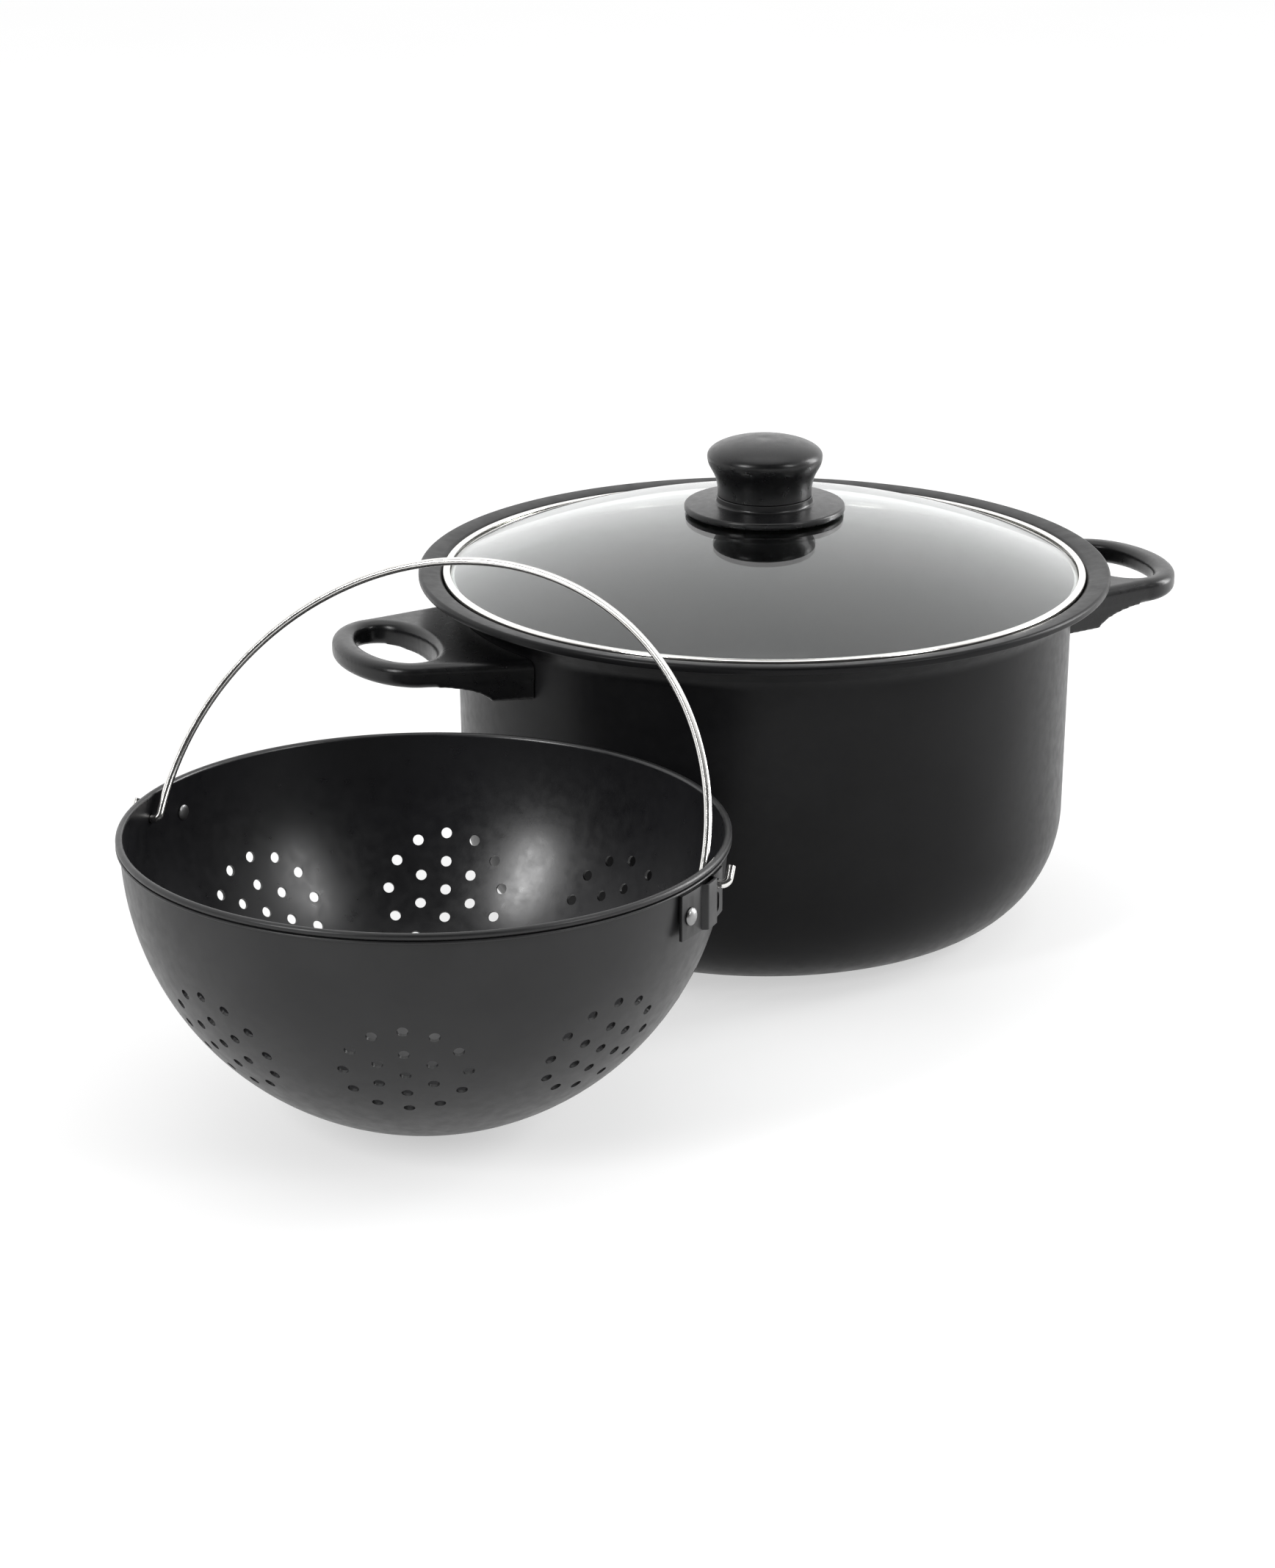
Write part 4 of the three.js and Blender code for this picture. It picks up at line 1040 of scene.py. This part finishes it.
def make_camera():
    data = bpy.data.cameras.new("camera")
    data.sensor_width = SENSOR
    data.lens = FOCAL_PIXELS / PHOTO_LONG_SIDE * SENSOR
    data.clip_end = CAMERA_CLIP * MM
    camera = bpy.data.objects.new("camera", data)
    camera.location = studio(CAMERA_RIGHT * MM, -CAMERA_BACK * MM, CAMERA_HEIGHT * MM)
    forward = TO_BACK * math.cos(CAMERA_PITCH) - UP * math.sin(CAMERA_PITCH)
    camera.rotation_euler = forward.to_track_quat("-Z", "Y").to_euler()
    bpy.context.scene.collection.objects.link(camera)
    bpy.context.scene.camera = camera


# Assembly


def dress(piece, body, slot, node, *materials):
    """Paints a piece, hangs it on its body and lets it stand for its solid."""
    coats = [face.material_index for face in piece.data.polygons]
    piece.data.materials.clear()
    for material in materials:
        piece.data.materials.append(material)
    piece.data.polygons.foreach_set("material_index", coats)
    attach(piece, body)
    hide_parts(node)


def paint_node(node, material):
    target = frame["nodes"][node]
    target.data.materials.clear()
    target.data.materials.append(material)


def paint_box():
    """Every material, by the part of the set that it covers."""
    black = {"dark": (0.004, 0.004, 0.0045), "light": (0.006, 0.006, 0.0065)}
    # The strainer's outer coat and its ears: a lighter grey than the lining, painted light for the light the
    # outside catches
    lit_grey = {"dark": (0.010, 0.010, 0.0105), "light": (0.014, 0.014, 0.0145)}
    lining = {"dark": (0.005, 0.005, 0.006), "light": (0.007, 0.007, 0.0085)}
    bright = {"dark": (0.78, 0.76, 0.73), "light": (0.86, 0.84, 0.81)}
    drawn = {"dark": (0.70, 0.69, 0.67), "light": (0.80, 0.79, 0.77)}
    dull = {"dark": (0.26, 0.26, 0.26), "light": (0.34, 0.34, 0.34)}
    zinc = {"dark": (0.56, 0.56, 0.55), "light": (0.66, 0.66, 0.65)}
    yellow = {"dark": (0.62, 0.46, 0.20), "light": (0.72, 0.55, 0.27)}
    return {
        "pot": coated_steel("pot_coating", **black, rough=0.34, specular=0.145),
        # Outer coat of the strainer: its lighter grey is painted light, its satin gloss is the coat's own
        "bowl": coated_steel("strainer_coating_painted_light", **lit_grey, rough=0.36, specular=0.33),
        "bowl_inside": coated_steel("strainer_lining", **lining, rough=0.31, specular=0.6),
        "phenolic": bakelite("phenolic"),
        "band": metal("band_steel", **bright, rough=0.10, stretch=(1, 1, 8)),
        "wire": metal("wire_steel", **drawn, rough=0.14, stretch=(1, 1, 1)),
        "rivet": metal("rivet_steel", **dull, rough=0.34, stretch=(1, 1, 1)),
        "plated": metal("plated_steel", **zinc, rough=0.25, stretch=(1, 1, 4)),
        "brass": metal("brass_insert", **yellow, rough=0.25, stretch=(1, 1, 4)),
        "glass": clear_glass("tempered_glass"),
        "silicone": silicone("silicone"),
    }


def dress_pot(paints):
    dress(make_pot(), "pot", "coated_steel", "pot_body", paints["pot"])
    for side, turn in SIDES:
        handle = side + "_handle"
        dress(make_handle(side, turn), "pot", "bakelite", handle, paints["phenolic"])
        dress(make_handle_screw(side, turn), "pot", "plated_steel", handle + "_screw", paints["plated"])
        dress(make_handle_washer(side, turn), "pot", "plated_steel", handle + "_washer", paints["plated"])
        paint_node(handle + "_bracket", paints["plated"])


def dress_lid(paints):
    dress(make_glass(), "lid", "lid_glass", "lid_glass", paints["glass"])
    dress(make_band(), "lid", "polished_steel", "lid_rim_band", paints["band"])
    dress(make_grip(), "lid", "bakelite", "knob_grip", paints["phenolic"])
    dress(make_disc(), "lid", "bakelite", "knob_base_disc", paints["phenolic"])
    dress(make_knob_screw(), "lid", "plated_steel", "knob_screw", paints["plated"])
    upper = make_ring("upper_seal", KNOB_BORE, GASKET_RADIUS, GAP, GAP + GASKET_THICKNESS)
    dress(upper, "lid", "silicone", "knob_gasket_upper", paints["silicone"])
    lower_foot = LOWER_GASKET_TOP - GASKET_THICKNESS
    lower = make_ring("lower_seal", KNOB_BORE, GASKET_RADIUS, lower_foot, LOWER_GASKET_TOP)
    dress(lower, "lid", "silicone", "knob_gasket_lower", paints["silicone"])
    washer = make_ring("lid_washer", KNOB_BORE, WASHER_RADIUS, WASHER_TOP - WASHER_THICKNESS, WASHER_TOP)
    dress(washer, "lid", "plated_steel", "knob_washer", paints["plated"])
    paint_node("knob_insert", paints["brass"])


def dress_strainer(paints):
    dress(make_bowl(), "strainer", "coated_steel", "strainer_bowl", paints["bowl"], paints["bowl_inside"])
    for side, turn in SIDES:
        dress(make_ear(side, turn), "strainer", "coated_steel", side + "_ear", paints["bowl"])
        dress(make_rivet(side, turn), "strainer", "polished_steel", side + "_ear_rivet", paints["rivet"])
    dress(make_bail(), "bail", "polished_steel", "bail_wire", paints["wire"])


def main():
    paints = paint_box()
    dress_pot(paints)
    dress_lid(paints)
    dress_strainer(paints)
    make_floor()
    make_world()
    make_lights()
    make_camera()
    bpy.context.scene.view_settings.view_transform = "Standard"


main()

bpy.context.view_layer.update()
